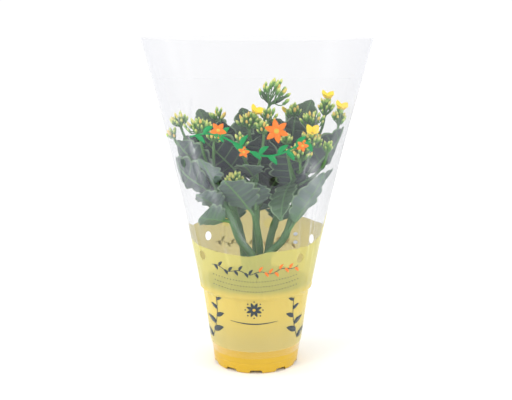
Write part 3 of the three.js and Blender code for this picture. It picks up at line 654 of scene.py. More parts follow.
def leaf_skin(name, settings, painted_shade_end, painted_sheen_end, rib_share, vein_share, gloss):
    """Waxy leaf: from painted shade to painted sheen by each leaf's tone and some random unevenness, greener
    low down, pale along its midrib and side veins, and pale at its very edge, partly its own paler margin
    and partly a painted highlight.
    """
    material, graph = new_finish(name)
    place = graph.split(graph.value_at("place")["Vector"])
    rim = graph.value_at("rim")["Fac"]
    # Each leaf's painted light and shade, with some random unevenness
    painted_light_tone = graph.plus(place["Z"], graph.times(graph.less(graph.noise(45), 0.5), 0.28))
    tint = graph.blend(painted_light_tone, painted_shade_end, painted_sheen_end)
    height = graph.math("DIVIDE", graph.split(graph.spot())["Z"], MM)
    # Greener low down, weighted by the leaf's painted light and shade
    tint = graph.blend(graph.times(graph.step(height, 190, 150), painted_light_tone), tint, settings.low_leaf_colour)
    vein = graph.step(graph.math("COSINE", graph.times(place["Y"], TAU * SIDE_VEINS)), 0.82, 1.0)
    inner = graph.less(1, graph.step(rim, 0.6, 0.95))
    tint = graph.blend(graph.times(vein, inner, vein_share), tint, settings.rib_colour)
    rib = graph.less(1, graph.step(graph.math("ABSOLUTE", place["X"]), 0.5, 1.5))
    tint = graph.blend(graph.times(rib, rib_share), tint, settings.rib_colour)
    # The pale rim: partly the leaf's own paler margin, partly a painted highlight on its thick edge
    tint = graph.blend(graph.times(graph.step(rim, 0.84, 0.95), 0.8), tint, settings.edge_and_highlight_colour)
    fine = graph.noise(1400, 2)
    rough = graph.plus(gloss, graph.times(fine, 0.12))
    graph.show(graph.surface(tint, rough, 0.45, Normal=graph.bump(fine, 0.15, 0.0003)))
    return material


def stem_skin(settings):
    """Fleshy green stem, paler up its length and on its stalks."""
    material, graph = new_finish("stem_skin")
    streak = graph.step(graph.noise(160, 3), 0.5, 0.75)
    place = graph.split(graph.value_at("place")["Vector"])
    tint = graph.blend(place["Y"], settings.stem_colour, settings.stalk_colour)
    tint = graph.blend(graph.times(streak, 0.4), tint, settings.rib_colour)
    graph.show(graph.surface(tint, 0.42, 0.35, Normal=graph.bump(graph.noise(600, 2), 0.12, 0.0004)))
    return material


def bud_skin(settings):
    """Buds from green calyx to their ripening yellow tip, on green stalks."""
    material, graph = new_finish("bud_skin")
    along = graph.value_at("along")["Fac"]
    ripe = graph.value_at("ripe")["Fac"]
    tint = graph.blend(graph.step(along, 0.25, 0.75), settings.calyx_colour, settings.bud_colour)
    tip = graph.blend(graph.step(ripe, 0.35, 0.9), settings.bud_tip_colour, settings.ripe_colour)
    reach = graph.less(0.95, graph.times(ripe, 0.5))
    tint = graph.blend(graph.step(along, graph.less(reach, 0.3), reach), tint, tip)
    tint = graph.blend(graph.step(ripe, -0.4, -0.6), tint, settings.stalk_colour)
    mottle = graph.blend(graph.noise(500, 2), (0.82, 0.82, 0.82), (1.12, 1.12, 1.12))
    tint = graph.blend(0.8, tint, mottle, "MULTIPLY")
    graph.show(graph.surface(tint, 0.42, 0.35, Normal=graph.bump(graph.noise(900, 2), 0.1, 0.0003)))
    return material


def petal_skin(settings):
    """Soft yolk-yellow petals, deeper at the throat, on a green-yellow tube."""
    material, graph = new_finish("petal_skin")
    place = graph.split(graph.value_at("place")["Vector"])
    veins = graph.step(graph.math("COSINE", graph.times(place["X"], 22)), 0.6, 1)
    tint = graph.blend(graph.step(place["Y"], 0.08, 0.26), settings.throat_colour, settings.petal_colour)
    tint = graph.blend(graph.times(veins, 0.12), tint, settings.throat_colour)
    tint = graph.blend(graph.step(place["Z"], 0.4, 0.6), tint, settings.bud_colour)
    normal = graph.bump(graph.noise(800, 2), 0.12, 0.0003)
    graph.show(graph.surface(tint, 0.5, 0.25, Sheen_Weight=0.15, Normal=normal))
    return material


def print_tint(graph, settings, height, depth):
    """The print's colour: paler on the pot, greyer at its foot, and lighter on the back panel, where the
    lift is painted light against the shade it lies in.
    """
    tint = graph.blend(graph.step(height, 96, 86), settings.print_colour, settings.print_low_colour)
    tint = graph.blend(graph.step(height, 70, 30), tint, settings.print_foot_colour)
    # Lighter on the back panel: painted light
    tint = graph.blend(graph.step(depth, -5, 25), tint, settings.print_back_painted_light_colour)
    return graph.blend(graph.times(graph.noise(9, 2), 0.25), tint, settings.print_foot_colour)


def printed_film(settings):
    """Clear film: a haze that grows above the pot as painted reflection, a gloss at grazing angles, painted
    highlights along its creases with painted sheen where leaves press on it, and the print low down.
    """
    material, graph = new_finish("printed_film")
    spot = graph.split(graph.spot())
    height, depth = (graph.math("DIVIDE", spot[axis], MM) for axis in ("Z", "Y"))
    printed = graph.step(graph.value_at("ink_edge")["Fac"], -0.15, 0.15)
    # Above the pot the film gets more haze and its own haze colour: painted reflection of the floor and soft
    # boxes
    high = graph.step(height, 90, 150)
    uneven = graph.plus(0.4, graph.step(graph.noise(38, 3), 0.3, 0.7))
    # crease: painted highlight along the film's creases, and painted sheen where leaves press on it
    crease = graph.math("MULTIPLY", graph.value_at("crease")["Fac"], uneven, clamp=True)
    edge_on = graph.math("POWER", graph.add("ShaderNodeLayerWeight", {"Blend": 0.5}).outputs["Facing"], 2.6)

    tint = graph.blend(high, settings.low_haze_colour, settings.film_colour)
    # Painted highlight colour along the creases
    tint = graph.blend(graph.step(crease, 0.0, 0.25), tint, CREASE_HIGHLIGHT_COLOUR)
    tint = graph.blend(graph.times(edge_on, 0.8), tint, EDGE_ON_COLOUR)
    tint = graph.blend(printed, tint, print_tint(graph, settings, height, depth))

    # More haze higher up: painted reflection
    haze = graph.times(settings.film_haze, graph.plus(0.45, graph.times(high, 0.55)))
    cloud = graph.plus(0.75, graph.times(graph.noise(14, 3), 0.5))
    shine = graph.plus(graph.times(edge_on, settings.film_gloss), crease)
    veil = graph.plus(graph.times(haze, cloud), shine, clamp=True)
    cover = graph.plus(veil, graph.times(printed, settings.print_cover), clamp=True)

    gloss = graph.surface(tint, 0.16, 0.6, Normal=graph.bump(graph.noise(60, 3), 0.12, 0.0008))
    filtered = graph.blend(printed, settings.film_tint, settings.print_filter)
    clear = graph.add("ShaderNodeBsdfTransparent", {"Color": filtered}).outputs[0]
    graph.show(graph.add("ShaderNodeMixShader", {0: cover, 1: clear, 2: gloss}).outputs[0])
    return material


def ink(name, rgb):
    """A satin printing ink with slight unevenness."""
    material, graph = new_finish(name)
    tint = graph.blend(graph.noise(220, 3), shaded(rgb, 0.85), shaded(rgb, 1.12))
    graph.show(graph.surface(tint, 0.3, 0.4))
    return material


def studio_floor():
    """Matt white floor."""
    material, graph = new_finish("studio_floor")
    tint = graph.blend(graph.noise(3, 2), (0.98, 0.98, 0.98), (0.995, 0.995, 0.995))
    graph.show(graph.surface(tint, 0.8, 0.1))
    return material


def pot_radius(z):
    """The pot wall's outer radius at a height."""
    return mix(POT_FOOT_R, POT_WALL_TOP_R, (z - 1) / (LIP_BOTTOM - 3))


def film_section(z):
    """The film's half width, half depth, corner sharpness and lean at a height."""
    rise = np.maximum(0, np.asarray(z, float) - FILM_RIM_Z)
    full = FILM_TOP - FILM_RIM_Z
    flare = (FILM_MOUTH_HALF_WIDTH - FILM_RIM_R - FILM_FLARE * full) / full ** 2
    half_width = FILM_RIM_R + FILM_FLARE * rise + flare * rise ** 2
    half_depth = mix(FILM_RIM_R, FILM_MOUTH_HALF_DEPTH, rise / full)
    return half_width, half_depth, 1 + FILM_CORNER * rise / full, FILM_LEAN * rise / full


def film_cling(z):
    """How far the film is drawn in to the pot's wall under its lip."""
    return (POT_RIM_R - pot_radius(z)) * ease(LIP_BOTTOM, LIP_BOTTOM - 3.5, z) + FILM_INSET


def film_share(points):
    """How far out points lie: 0 on the sleeve's axis, 1 at its clearance."""
    half_width, half_depth, corner, lean = film_section(points[..., 2])
    turn = math.radians(-FILM_TURN)
    x, y = points[..., 0] - lean, points[..., 1]
    across = np.abs(x * math.cos(turn) - y * math.sin(turn)) / (half_width - FILM_CLEARANCE)
    deep = np.abs(x * math.sin(turn) + y * math.cos(turn)) / (half_depth - FILM_CLEARANCE)
    low, high = np.zeros(across.shape), np.full(across.shape, 4.0)
    for _ in range(24):
        share = (low + high) / 2
        outside = (across / share) ** 2 + (deep / share) ** (2 / corner) > 1
        low = np.where(outside, share, low)
        high = np.where(outside, high, share)
    return high


def press_in(points):
    """Points that come near the film are pressed in along it."""
    share = film_share(points)
    room = 1 - FREE_SHARE
    held = FREE_SHARE + room * (1 - np.exp((FREE_SHARE - share) / room))
    pressed = np.where(share > FREE_SHARE, held, share)
    lean = film_section(points[..., 2])[3]
    scale = pressed / np.maximum(share, 1e-9)
    result = points.copy()
    result[..., 0] = lean + (points[..., 0] - lean) * scale
    result[..., 1] = points[..., 1] * scale
    return result


def along_line(line, angle, z, half_width):
    """Where places lie up a fold or crease, as a share, and how far off its line in millimetres."""
    start, low, end, high = line
    share = (z - low) / (high - low)
    apart = (np.degrees(angle) - mix(start, end, share) + 180) % 360 - 180
    return share, np.radians(apart) * half_width


def film_lift(angle, z, wave):
    """How far the film stands out of its plain shape: slow waves, folds, welds and puckers."""
    slow = (0.6 * np.sin(3 * angle + 0.7) + 0.45 * np.sin(5 * angle + 2.1 + z / 55)
            + 0.25 * np.sin(11 * angle + z / 23))
    lift = ease(96, 170, z) * wave * slow
    lift += 0.22 * np.sin(26 * angle + 0.8 * np.sin(3 * angle)) * ease(62, 84, z) * ease(118, 96, z)
    half_width = film_section(z)[0]
    for *line, height, width in FILM_FOLDS:
        share, off = along_line(line, angle, z, half_width)
        fade = ease(-0.05, 0.25, share) * ease(1.1, 0.8, share)
        lift += height * fade * np.exp(-(off / width) ** 2)
    from_seam = np.abs(np.sin(angle)) * half_width
    weld = np.exp(-((from_seam - SEAM_WELD) / 0.9) ** 2)
    return lift - 0.5 * np.where(np.abs(np.cos(angle)) > 0.9, weld, 0) * ease(94, 110, z)


def film_crease_highlight(angle, z):
    """How much painted highlight the film's creases, and painted sheen where leaves press on it, put on a
    place.
    """
    half_width = film_section(z)[0]
    white = np.zeros(np.shape(angle))
    for *line, strength, width in FILM_CREASE_HIGHLIGHTS:
        share, off = along_line(line, angle, z, half_width)
        fade = ease(0, 0.3, share) * ease(1, 0.6, share)
        white = np.maximum(white, strength * fade * np.exp(-(off / width) ** 2))
    return white


def film_points(angle, z, wave, lift=0.0):
    """Points on the film's outer face, lifted square to its wall."""
    angle, z = np.broadcast_arrays(np.asarray(angle, float), np.asarray(z, float))
    half_width, half_depth, corner, lean = film_section(z)
    cling = film_cling(z)
    sine = np.sin(angle)
    across = (half_width - cling) * np.cos(angle)
    deep = (half_depth - cling) * np.sign(sine) * np.abs(sine) ** corner
    out_x = np.cos(angle) / (half_width - cling)
    out_y = np.sign(sine) * np.abs(sine) ** (2 - corner) / (half_depth - cling)
    length = np.hypot(out_x, out_y)
    move = film_lift(angle, z, wave) + lift
    across, deep = across + move * out_x / length, deep + move * out_y / length
    turn = math.radians(FILM_TURN)
    return np.stack([across * math.cos(turn) - deep * math.sin(turn) + lean,
                     across * math.sin(turn) + deep * math.cos(turn), z], axis=-1)


def film_angle(x, z, panel):
    """The angle round the film where its front (-1) or back (+1) panel lies at x."""
    half_width, half_depth, corner, lean = film_section(z)
    turn = math.radians(FILM_TURN)
    cling = film_cling(z)
    deep = panel * (half_depth - cling)
    for _ in range(6):
        across = (x - lean + deep * math.sin(turn)) / math.cos(turn)
        cosine = np.clip(across / (half_width - cling), -0.995, 0.995)
        deep = panel * (half_depth - cling) * np.sqrt(1 - cosine ** 2) ** corner
    return panel * np.arccos(cosine)


def blade_shape(v):
    """The leaf's half width as a share of its width, v from 0 at the blade's foot to 1 at its tip."""
    return 0.5 * np.sin(np.pi * np.clip(v, 0, 1) ** 0.82) ** 0.72


def leaf_axes(foot, tip, face):
    """The directions along, across and square to a leaf. If "face" is None, it looks in to the stems."""
    along = unit(tip - foot)
    inward = -unit([foot[0] + tip[0], 1.6 * (foot[1] + tip[1]), 0])
    face = inward + (0, 0, 0.35) if face is None else np.array(face, float)
    face = unit(face - along * np.dot(face, along))
    return along, np.cross(along, face), face


def leaf_half_width(u, v, s, width, drift):
    """The half width of a leaf: a lobed blade that runs down into its petiole."""
    scallop = np.abs(np.sin(np.pi * LOBES * (v - LOBE_START))) ** 0.8
    wide_lobes = 0.035 * np.cos(TAU * (v - 0.41) / 0.245) * ease(0.2, 0.4, v)
    depth = mix(0.22, 0.32, np.clip(v, 0, 1)) * ease(0.04, 0.2, v)
    uneven = 0.03 * np.sin(7 * v + 5 * drift) * np.sign(u)
    half = blade_shape(v) * width * (0.99 + depth * (scallop - 0.62) + wide_lobes + uneven)
    petiole = PETIOLE_WIDTH / 2 * (1 - ease(-0.001, 0.2, v)) * (1 + 0.5 * ease(0.08, 0, s))
    return (half ** 4 + petiole ** 4) ** 0.25


def leaf_body(skin, foot, leaf, seed):
    """Adds one leaf: petiole and scalloped, veined blade, as a closed body."""
    _, tip, width, bow, face, painted_light_tone = leaf
    tip = np.array(tip, float)
    length = np.linalg.norm(tip - foot)
    along, side, face = leaf_axes(foot, tip, face)
    middle = foot + along * length * 0.5 + face * bow * length

    # Round each row: the upper face from one edge to the other, and back along the lower face
    shares = np.array([0, 0.05, 0.12, 0.22, 0.36, 0.52, 0.7, 0.86, 0.965])
    top = np.concatenate([shares[:0:-1], -shares])
    u = np.concatenate([top, [-1], top[::-1], [1]])[None, :]
    upper = np.concatenate([np.ones(top.size), [0], -np.ones(top.size), [0]])[None, :]

    # Up the leaf: v runs up the blade and s up the whole leaf, and the edge lags behind the midrib
    petiole = np.linspace(0, 0.9, PETIOLE_ROWS, endpoint=False) * PETIOLE_SHARE
    blade = (1 - np.cos(np.linspace(0.16, 3.09, LEAF_ROWS))) / 2
    v = np.concatenate([np.full(PETIOLE_ROWS, -0.001), blade])[:, None]
    s_rib = mix(PETIOLE_SHARE, 1, np.maximum(v, 0) ** 1.2)
    s_blade = mix(s_rib, mix(PETIOLE_SHARE, 1, v), np.abs(u) ** 1.3)
    s = np.where(v < 0, np.concatenate([petiole, np.zeros(LEAF_ROWS)])[:, None], s_blade)
    offset = u * leaf_half_width(u, v, s, width, draw(seed, 3))

    stalkness = 1 - ease(-0.001, 0.16, v)
    bladeness = 1 - stalkness
    rib = np.where(v < 0, PETIOLE_THICKNESS, mix(RIB_THICKNESS, RIB_TIP_THICKNESS, s)) / 2
    rib = mix(rib, PETIOLE_THICKNESS / 2, stalkness)
    round_edge = np.sqrt(np.maximum(0, 1 - np.abs(u) ** mix(6, 2, stalkness)))
    flat = mix(LEAF_EDGE / 2, rib, 1 - np.abs(u))
    thick = mix(flat, rib, stalkness) * round_edge * upper

    wave_row = np.cos(TAU * SIDE_VEINS * v)
    veins = ease(0.6, 1, wave_row) * ease(0.04, 0.12, np.abs(u)) * ease(0.95, 0.7, np.abs(u))
    groove = np.exp(-(offset / 1.0) ** 2) * bladeness
    puff = (1 - wave_row) / 2 * np.sin(np.pi * np.abs(u)) * bladeness
    keel = 0.9 * np.exp(-(offset / 1.5) ** 2) * bladeness * (1 - np.clip(v, 0, 1))
    thick += np.where(upper > 0, -0.4 * groove - 0.2 * veins * bladeness, 0)
    thick -= np.where(upper < 0, keel, 0)
    turn = TAU * draw(seed, 5)
    ripple = 0.9 * np.sin(TAU * 1.9 * v + turn + 1.4 * np.sign(u)) + 0.45 * np.sin(TAU * 4.1 * v + 2 * turn)
    lift = LEAF_CUP * (np.sqrt(offset ** 2 + 4) - 2) + thick + 0.35 * puff
    lift += ripple * np.abs(u) ** 2 * bladeness

    tangent = unit((middle - foot) * (1 - s[..., None]) + (tip - middle) * s[..., None])
    normal = unit(face - tangent * (tangent @ face)[..., None])
    points = bend_at(foot, middle, tip, s) + side * offset[..., None] + normal * lift[..., None]
    # The leaf's painted light and shade, kept at its points
    shade = painted_light_tone + 0.15 * (draw(seed, 8) - 0.5)
    place = np.stack(np.broadcast_arrays(offset, v, shade), axis=-1)
    columns = np.arange(u.size)
    slots = np.where((columns < top.size) | (columns == u.size - 1), 0, 1)
    rim = np.broadcast_to(np.abs(u), offset.shape) * bladeness
    skin.tube(press_in(points), slots, place, rim)


def beside_stem(path, at, towards):
    """A point just off a stem's axis, on the side that a leaf or stalk leaves from."""
    point = spline_at(path, at)[0]
    out = np.array(towards, float) - point
    out[2] = 0
    return point + unit(out) * BESIDE_AXIS


def stem_mesh(key, seed):
    """A leafy stem: its stem, leaves and the stalks of its heads."""
    path, leaves, heads = STEMS[key]
    skin = Skin()
    t = np.linspace(0, 1, 72)
    radii = mix(STEM_R, STEM_TIP_R, t)
    for leaf in leaves:
        radii = radii + 0.55 * np.exp(-((t - leaf[0]) / 0.018) ** 2)
    centres = spline_at(path, t)
    rings = tube_rings(centres, radii, STEM_SIDES)
    ends = [centres[0], centres[-1] + unit(centres[-1] - centres[-2]) * STEM_TIP_R * 0.8]
    place = np.zeros(rings.shape)
    place[..., 1] = t[:, None] * 0.6
    skin.tube(rings, 2, place, 0, ends)
    for i, leaf in enumerate(leaves):
        leaf_body(skin, beside_stem(path, leaf[0], leaf[1]), leaf, seed * 10 + i)
    t = np.linspace(0, 1, 22)
    for i, name in enumerate(heads):
        foot, axis = np.array(HEADS[name][0], float), unit(HEADS[name][1])
        start = beside_stem(path, STALK_TOP - STALK_STEP * i, foot)
        bend = foot - axis * 0.45 * np.linalg.norm(foot - start)
        route = bend_at(start, bend, foot - axis * 0.1, t)
        rings = tube_rings(route, mix(STALK_R * 1.15, STALK_R * 0.9, t), STALK_SIDES)
        skin.tube(rings, 2, (0, 0.85, 0))
    return skin.mesh(f"stem_{key}")


def bud_mesh():
    """One plump, pointed, four-angled bud with its calyx, a unit long up the Z axis."""
    profile = [(0.045, 0), (0.13, 0.03), (0.155, 0.14), (0.17, 0.3), (0.2, 0.44), (0.205, 0.58),
               (0.17, 0.74), (0.1, 0.88)]
    angles = round_angles(BUD_SIDES)
    rings = []
    for radius, z in profile:
        angular = 1 + 0.1 * np.cos(4 * angles) * ease(0.3, 0.6, z)
        rings.append(level_ring(radius * angular, z, angles + 0.5 * ease(0.4, 1, z)))
    skin = Skin()
    skin.tube(np.array(rings), ends=[(0, 0, 0), (0, 0, 1)])
    body_points = skin.count
    for turn in round_angles(4) + TAU / 8:
        out, side = compass(turn)
        low, high = out * 0.13, out * 0.25 + (0, 0, 0.36)
        skin.add([low + side * 0.07, low - side * 0.07, low + out * 0.04 + (0, 0, 0.02), high],
                 [(0, 1, 3), (1, 2, 3), (2, 0, 3), (0, 2, 1)])
    points = np.vstack(skin.points)
    mesh = bpy.data.meshes.new("bud")
    mesh.from_pydata(points.tolist(), [], skin.faces)
    mesh.polygons.foreach_set("use_smooth", np.ones(len(skin.faces), bool))
    point_values(mesh, "along", np.where(np.arange(len(points)) < body_points, points[:, 2], 0.0))
    mesh.update()
    return mesh


def leaves_room(neck, tip, foot, open_at):
    """Whether a bud leaves room for the open flower of its head, which widens upwards."""
    if open_at is None:
        return True
    axis = unit(np.array(open_at, float) - foot)
    for share in (0.25, 0.6, 1):
        offset = mix(neck, tip, share) - open_at
        height = offset @ axis
        if height > 0 and np.linalg.norm(offset - axis * height) < FLOWER_ROOM + FLOWER_ROOM_FLARE * height:
            return False
    return True


def head_axes(key):
    """A head's foot, the axis it points along, and two directions square to it."""
    foot, axis = np.array(HEADS[key][0], float), unit(HEADS[key][1])
    return foot, axis, *across_axes(axis)


def head_buds(key, seed, crowding):
    """Neck, aim, length and ripeness of each bud of a head, which together make a dome."""
    foot, axis, side, other = head_axes(key)
    height, spread, buds, open_at = HEADS[key][2:]
    loose = key in BRACTS
    count = round(buds * (LOOSE_CROWDING if loose else crowding))
    result = []
    for i in range(count):
        share = math.sqrt((i + 0.35) / count)
        out = around(side, other, i * GOLDEN_ANGLE + seed)
        rise = height * (1 - 0.45 * share * share + 0.24 * (draw(i, seed) - 0.5))
        reach = (spread - 2) * (share + 0.12 * (draw(i + 4, seed) - 0.5))
        neck = foot + axis * (rise - BUD_LENGTH * 0.7) + out * reach
        aim = unit(axis + out * 0.7 * share + side * 0.3 * (draw(i + 2, seed) - 0.5))
        length = BUD_LENGTH * (0.8 + 0.35 * draw(i + 9, seed)) * (1.08 - 0.25 * share * draw(i + 7, seed))
        length *= LOOSE_BUD_SIZE if loose else 1
        ripe = draw(i + 13, seed) ** 3 * (1.15 - 0.3 * share)
        if leaves_room(neck, neck + aim * length, foot, open_at):
            result.append((neck, aim, length, ripe))
    return result


class HeadFrame:
    """A head before it is grown: its forked stalks as edges and its buds as loose points."""

    def __init__(self, key, seed, crowding):
        self.points, self.edges = [], []
        self.values = {"stalk_radius": [], "aim": [], "size": [], "ripe": [], "is_bud": []}
        foot, axis, side, other = head_axes(key)
        height, spread, _, open_at = HEADS[key][2:]
        buds = head_buds(key, seed, crowding)
        branches = max(3, min(6, round(len(buds) / 4)))
        forks = []
        for k in range(branches):
            out = around(side, other, TAU * k / branches + seed * 1.3)
            forks.append(foot + axis * height * 0.2 + out * spread * 0.32)
            bend = foot + axis * height * 0.14 + out * spread * 0.08
            self.stalk(foot - axis * 0.2, bend, forks[-1], 1.25, 0.8)
        for neck, aim, length, ripe in buds:
            fork = min(forks, key=lambda place: np.linalg.norm(place - neck))
            bend = neck - aim * np.linalg.norm(neck - fork) * 0.5
            self.stalk(fork, bend, neck + aim * 0.2, 0.7, 0.55)
            self.put(neck, 0, aim, length * MM, ripe, 1.0)
        if open_at:
            start = foot + axis * height * 0.15
            end = np.array(open_at, float) - unit(open_at - foot) * 0.1
            self.stalk(start, (start + end) / 2, end, 1.0, 0.8, 8)

    def put(self, point, *values):
        """Adds a point with its values and gives back its number."""
        self.points.append(point)
        for kept, value in zip(self.values.values(), values):
            kept.append(value)
        return len(self.points) - 1

    def stalk(self, start, bend, end, thick, thin, count=STALK_POINTS):
        """Adds a bent stalk that gets thinner."""
        t = np.linspace(0, 1, count)
        ids = [self.put(point, radius * MM, (0, 0, 1), 0.0, -1.0, 0.0)
               for point, radius in zip(bend_at(start, bend, end, t), mix(thick, thin, t))]
        self.edges.extend(zip(ids[:-1], ids[1:]))

    def mesh(self, name):
        """The frame as a mesh of edges and loose points in metres."""
        mesh = bpy.data.meshes.new(name)
        mesh.from_pydata((np.array(self.points) * MM).tolist(), self.edges, [])
        for kept, values in self.values.items():
            point_values(mesh, kept, values)
        return mesh


def bract_mesh(key):
    """The small leaves at a head's foot."""
    foot, axis, _, _ = head_axes(key)
    foot = foot + axis * HEADS[key][2] * 0.08
    t = np.linspace(0, 1, 14)[:, None]
    turn = round_angles(10)
    half = BRACT_WIDTH / 2 * np.sin(np.pi * np.clip(t, 0.04, 0.985) ** 0.9) ** 0.8 + 0.3 * (1 - t)
    across = half * np.cos(turn)
    thin = BRACT_THICKNESS / 2 * (1 - 0.5 * t) * np.sin(turn)
    bow = 1.2 * np.sin(np.pi * t) - 0.06 * across ** 2
    skin = Skin()
    for tip in BRACTS[key]:
        along = np.array(tip, float) - foot
        up = unit(np.cross((0, 0, 1), along))
        side = np.cross(unit(along), up)
        lift = (thin + bow * 0.4)[..., None] * up
        rings = foot + (t * along)[:, None, :] + across[..., None] * side + lift
        place = np.stack(np.broadcast_arrays(across, t, 0.55), axis=-1)
        skin.tube(rings, 0, place, np.abs(np.cos(turn))[None, :])
    return skin.mesh(f"bracts_{key}")


def new_tree(name, **inputs):
    """The graph of a new geometry tree, and what its inputs give. Inputs are named with _ for a space."""
    tree = bpy.data.node_groups.new(name, "GeometryNodeTree")
    for label, kind in {"Geometry": "Geometry", **inputs}.items():
        tree.interface.new_socket(label.replace("_", " "), in_out="INPUT", socket_type=f"NodeSocket{kind}")
    tree.interface.new_socket("Geometry", in_out="OUTPUT", socket_type="NodeSocketGeometry")
    graph = Graph(tree)
    return graph, graph.add("NodeGroupInput").outputs


def end_tree(graph, material, *branches):
    """Ends a geometry tree: its branches as one real mesh with a material."""
    joined = graph.add("GeometryNodeJoinGeometry")
    for branch in branches:
        graph.put(joined, 0, branch)
    real = graph.add("GeometryNodeRealizeInstances", {"Geometry": joined.outputs[0]}).outputs[0]
    dressed = graph.add("GeometryNodeSetMaterial", {"Geometry": real, "Material": material}).outputs[0]
    graph.add("NodeGroupOutput", {"Geometry": dressed})
    return graph.tree


def head_tree(material):
    """The node tree that turns a head's frame into stalks and buds."""
    graph, given = new_tree("Bud head", Bud="Object", Bud_Width="Float", Stalk_Sides="Int", Seed="Int")

    def kept(name, kind="FLOAT"):
        node = graph.add("GeometryNodeInputNamedAttribute", {"Name": name}, data_type=kind)
        return node.outputs["Attribute"]

    curves = graph.add("GeometryNodeMeshToCurve", {"Mesh": given["Geometry"]}).outputs["Curve"]
    circle = graph.add("GeometryNodeCurvePrimitiveCircle", {
        "Resolution": given["Stalk Sides"], "Radius": 1.0}).outputs["Curve"]
    stalks = graph.add("GeometryNodeCurveToMesh", {
        "Curve": curves, "Profile Curve": circle, "Scale": kept("stalk_radius"), "Fill Caps": True,
    }).outputs["Mesh"]
    stalks = graph.add("GeometryNodeSetShadeSmooth", {0: stalks}).outputs[0]

    bud = graph.add("GeometryNodeObjectInfo", {"Object": given["Bud"]}).outputs["Geometry"]
    lean = graph.add("FunctionNodeAlignRotationToVector", {"Vector": kept("aim", "FLOAT_VECTOR")}, axis="Z")
    spin = graph.add("FunctionNodeEulerToRotation", {0: graph.random((0, 0, 0), (0, 0, TAU), given["Seed"])})
    facing = graph.add("FunctionNodeRotateRotation", {
        "Rotation": lean.outputs[0], "Rotate By": spin.outputs[0]}, rotation_space="LOCAL")
    size = kept("size")
    wide = graph.times(size, given["Bud Width"])
    scale = graph.add("ShaderNodeCombineXYZ", {0: wide, 1: wide, 2: size}).outputs[0]
    chosen = graph.add("FunctionNodeCompare", {0: kept("is_bud"), 1: 0.5}, operation="GREATER_THAN")
    buds = graph.add("GeometryNodeInstanceOnPoints", {
        "Points": given["Geometry"], "Selection": chosen.outputs[0], "Instance": bud,
        "Rotation": facing.outputs[0], "Scale": scale,
    }).outputs["Instances"]
    return end_tree(graph, material, stalks, buds)


def crumb_tree(material):
    """The node tree that scatters peat crumbs over the soil's top."""
    graph, given = new_tree("Peat crumbs", Density="Float", Crumb_Size="Float", Seed="Int")
    normal = graph.split(graph.add("GeometryNodeInputNormal").outputs[0])["Z"]
    height = graph.split(graph.add("GeometryNodeInputPosition").outputs[0])["Z"]
    upward = graph.math("GREATER_THAN", normal, 0.6)
    high = graph.math("GREATER_THAN", height, (SOIL_TOP - 4) * MM)
    points = graph.add("GeometryNodeDistributePointsOnFaces", {
        "Mesh": given["Geometry"], "Selection": graph.times(upward, high),
        "Density": given["Density"], "Seed": given["Seed"],
    }).outputs["Points"]
    crumb = graph.add("GeometryNodeMeshIcoSphere", {"Radius": 1.0, "Subdivisions": 1}).outputs["Mesh"]
    turned = graph.random((0, 0, 0), (TAU, TAU, TAU), given["Seed"])
    stretch = graph.random((0.4, 0.4, 0.4), (1.3, 1.0, 0.9), given["Seed"])
    scale = graph.add("ShaderNodeVectorMath", {0: stretch, "Scale": given["Crumb Size"]}, operation="SCALE")
    crumbs = graph.add("GeometryNodeInstanceOnPoints", {
        "Points": points, "Instance": crumb, "Rotation": turned, "Scale": scale.outputs[0],
    }).outputs["Instances"]
    return end_tree(graph, material, crumbs, given["Geometry"])


def flower_mesh(key, seed):
    """An open flower: a tube, four broad pointed petals and the small stamens in its throat."""
    foot, open_at = np.array(HEADS[key][0], float), np.array(HEADS[key][5], float)
    axis = unit(open_at - foot)
    side, other = across_axes(axis)
    skin = Skin()
    heights = np.array([0, 0.06, 0.3, 0.6, 0.85, 1.0]) * FLOWER_TUBE
    radii = np.array([0.8, 1.3, 1.85, 1.75, 1.8, 2.3])
    skin.tube(tube_rings(open_at + np.outer(heights, axis), radii, FLOWER_TUBE_SIDES), 0, (0, 0, 1))
    throat = open_at + axis * (FLOWER_TUBE - 0.6)
    t = np.linspace(0.12, 0.995, 15)[:, None]
    width = PETAL_WIDTH * 0.5 * (np.sin(np.pi * t ** 0.8) ** 0.6 * 0.98 + 0.1 * (1 - t))
    shares = np.array([1, 0.6, 0.25, 0, -0.25, -0.6, -1])
    u = np.concatenate([shares * 0.94, [-1], -shares * 0.94, [1]])[None, :]
    upper = np.concatenate([np.ones(7), [0], -np.ones(7), [0]])[None, :]
    thick = 0.32 * upper * np.sqrt(1 - 0.8 * np.abs(u) ** 4)
    for k in range(PETALS):
        out = around(side, other, TAU * (k + PETAL_TURN) / PETALS)
        across = np.cross(axis, out)
        droop = 1.6 * (draw(k, seed) - 0.35) * t ** 3
        bow = PETAL_RISE * PETAL_LENGTH * (t - PETAL_FOOT) + 0.6 * np.sin(np.pi * t * 0.9) - droop
        crinkle = 0.3 * np.sin(9 * t + 2 * u + k) * np.abs(u) * t
        lift = 0.5 + bow + 0.7 * np.abs(u) ** 1.5 * t + crinkle + thick
        points = (throat + out * (t * PETAL_LENGTH)[..., None] + across * (u * width)[..., None]
                  + axis * lift[..., None])
        skin.tube(points, 0, np.stack(np.broadcast_arrays(u, t, 0), axis=-1))
        stamen_tip = open_at + axis * (FLOWER_TUBE + 0.5) + out * 0.8
        stamen = np.linspace(open_at + axis * 3, stamen_tip, 4)
        skin.tube(tube_rings(stamen, [0.22, 0.22, 0.4, 0.35], STAMEN_SIDES))
    return skin.mesh(f"flower_{key}")


def lathe_skin(profile, sides):
    """A turned body from (radius, z) points that start and end on the axis."""
    skin = Skin()
    rings = [level_ring(radius, z, round_angles(sides)) for radius, z in profile[1:-1]]
    skin.tube(np.array(rings), ends=[(0, 0, profile[0][1]), (0, 0, profile[-1][1])])
    return skin


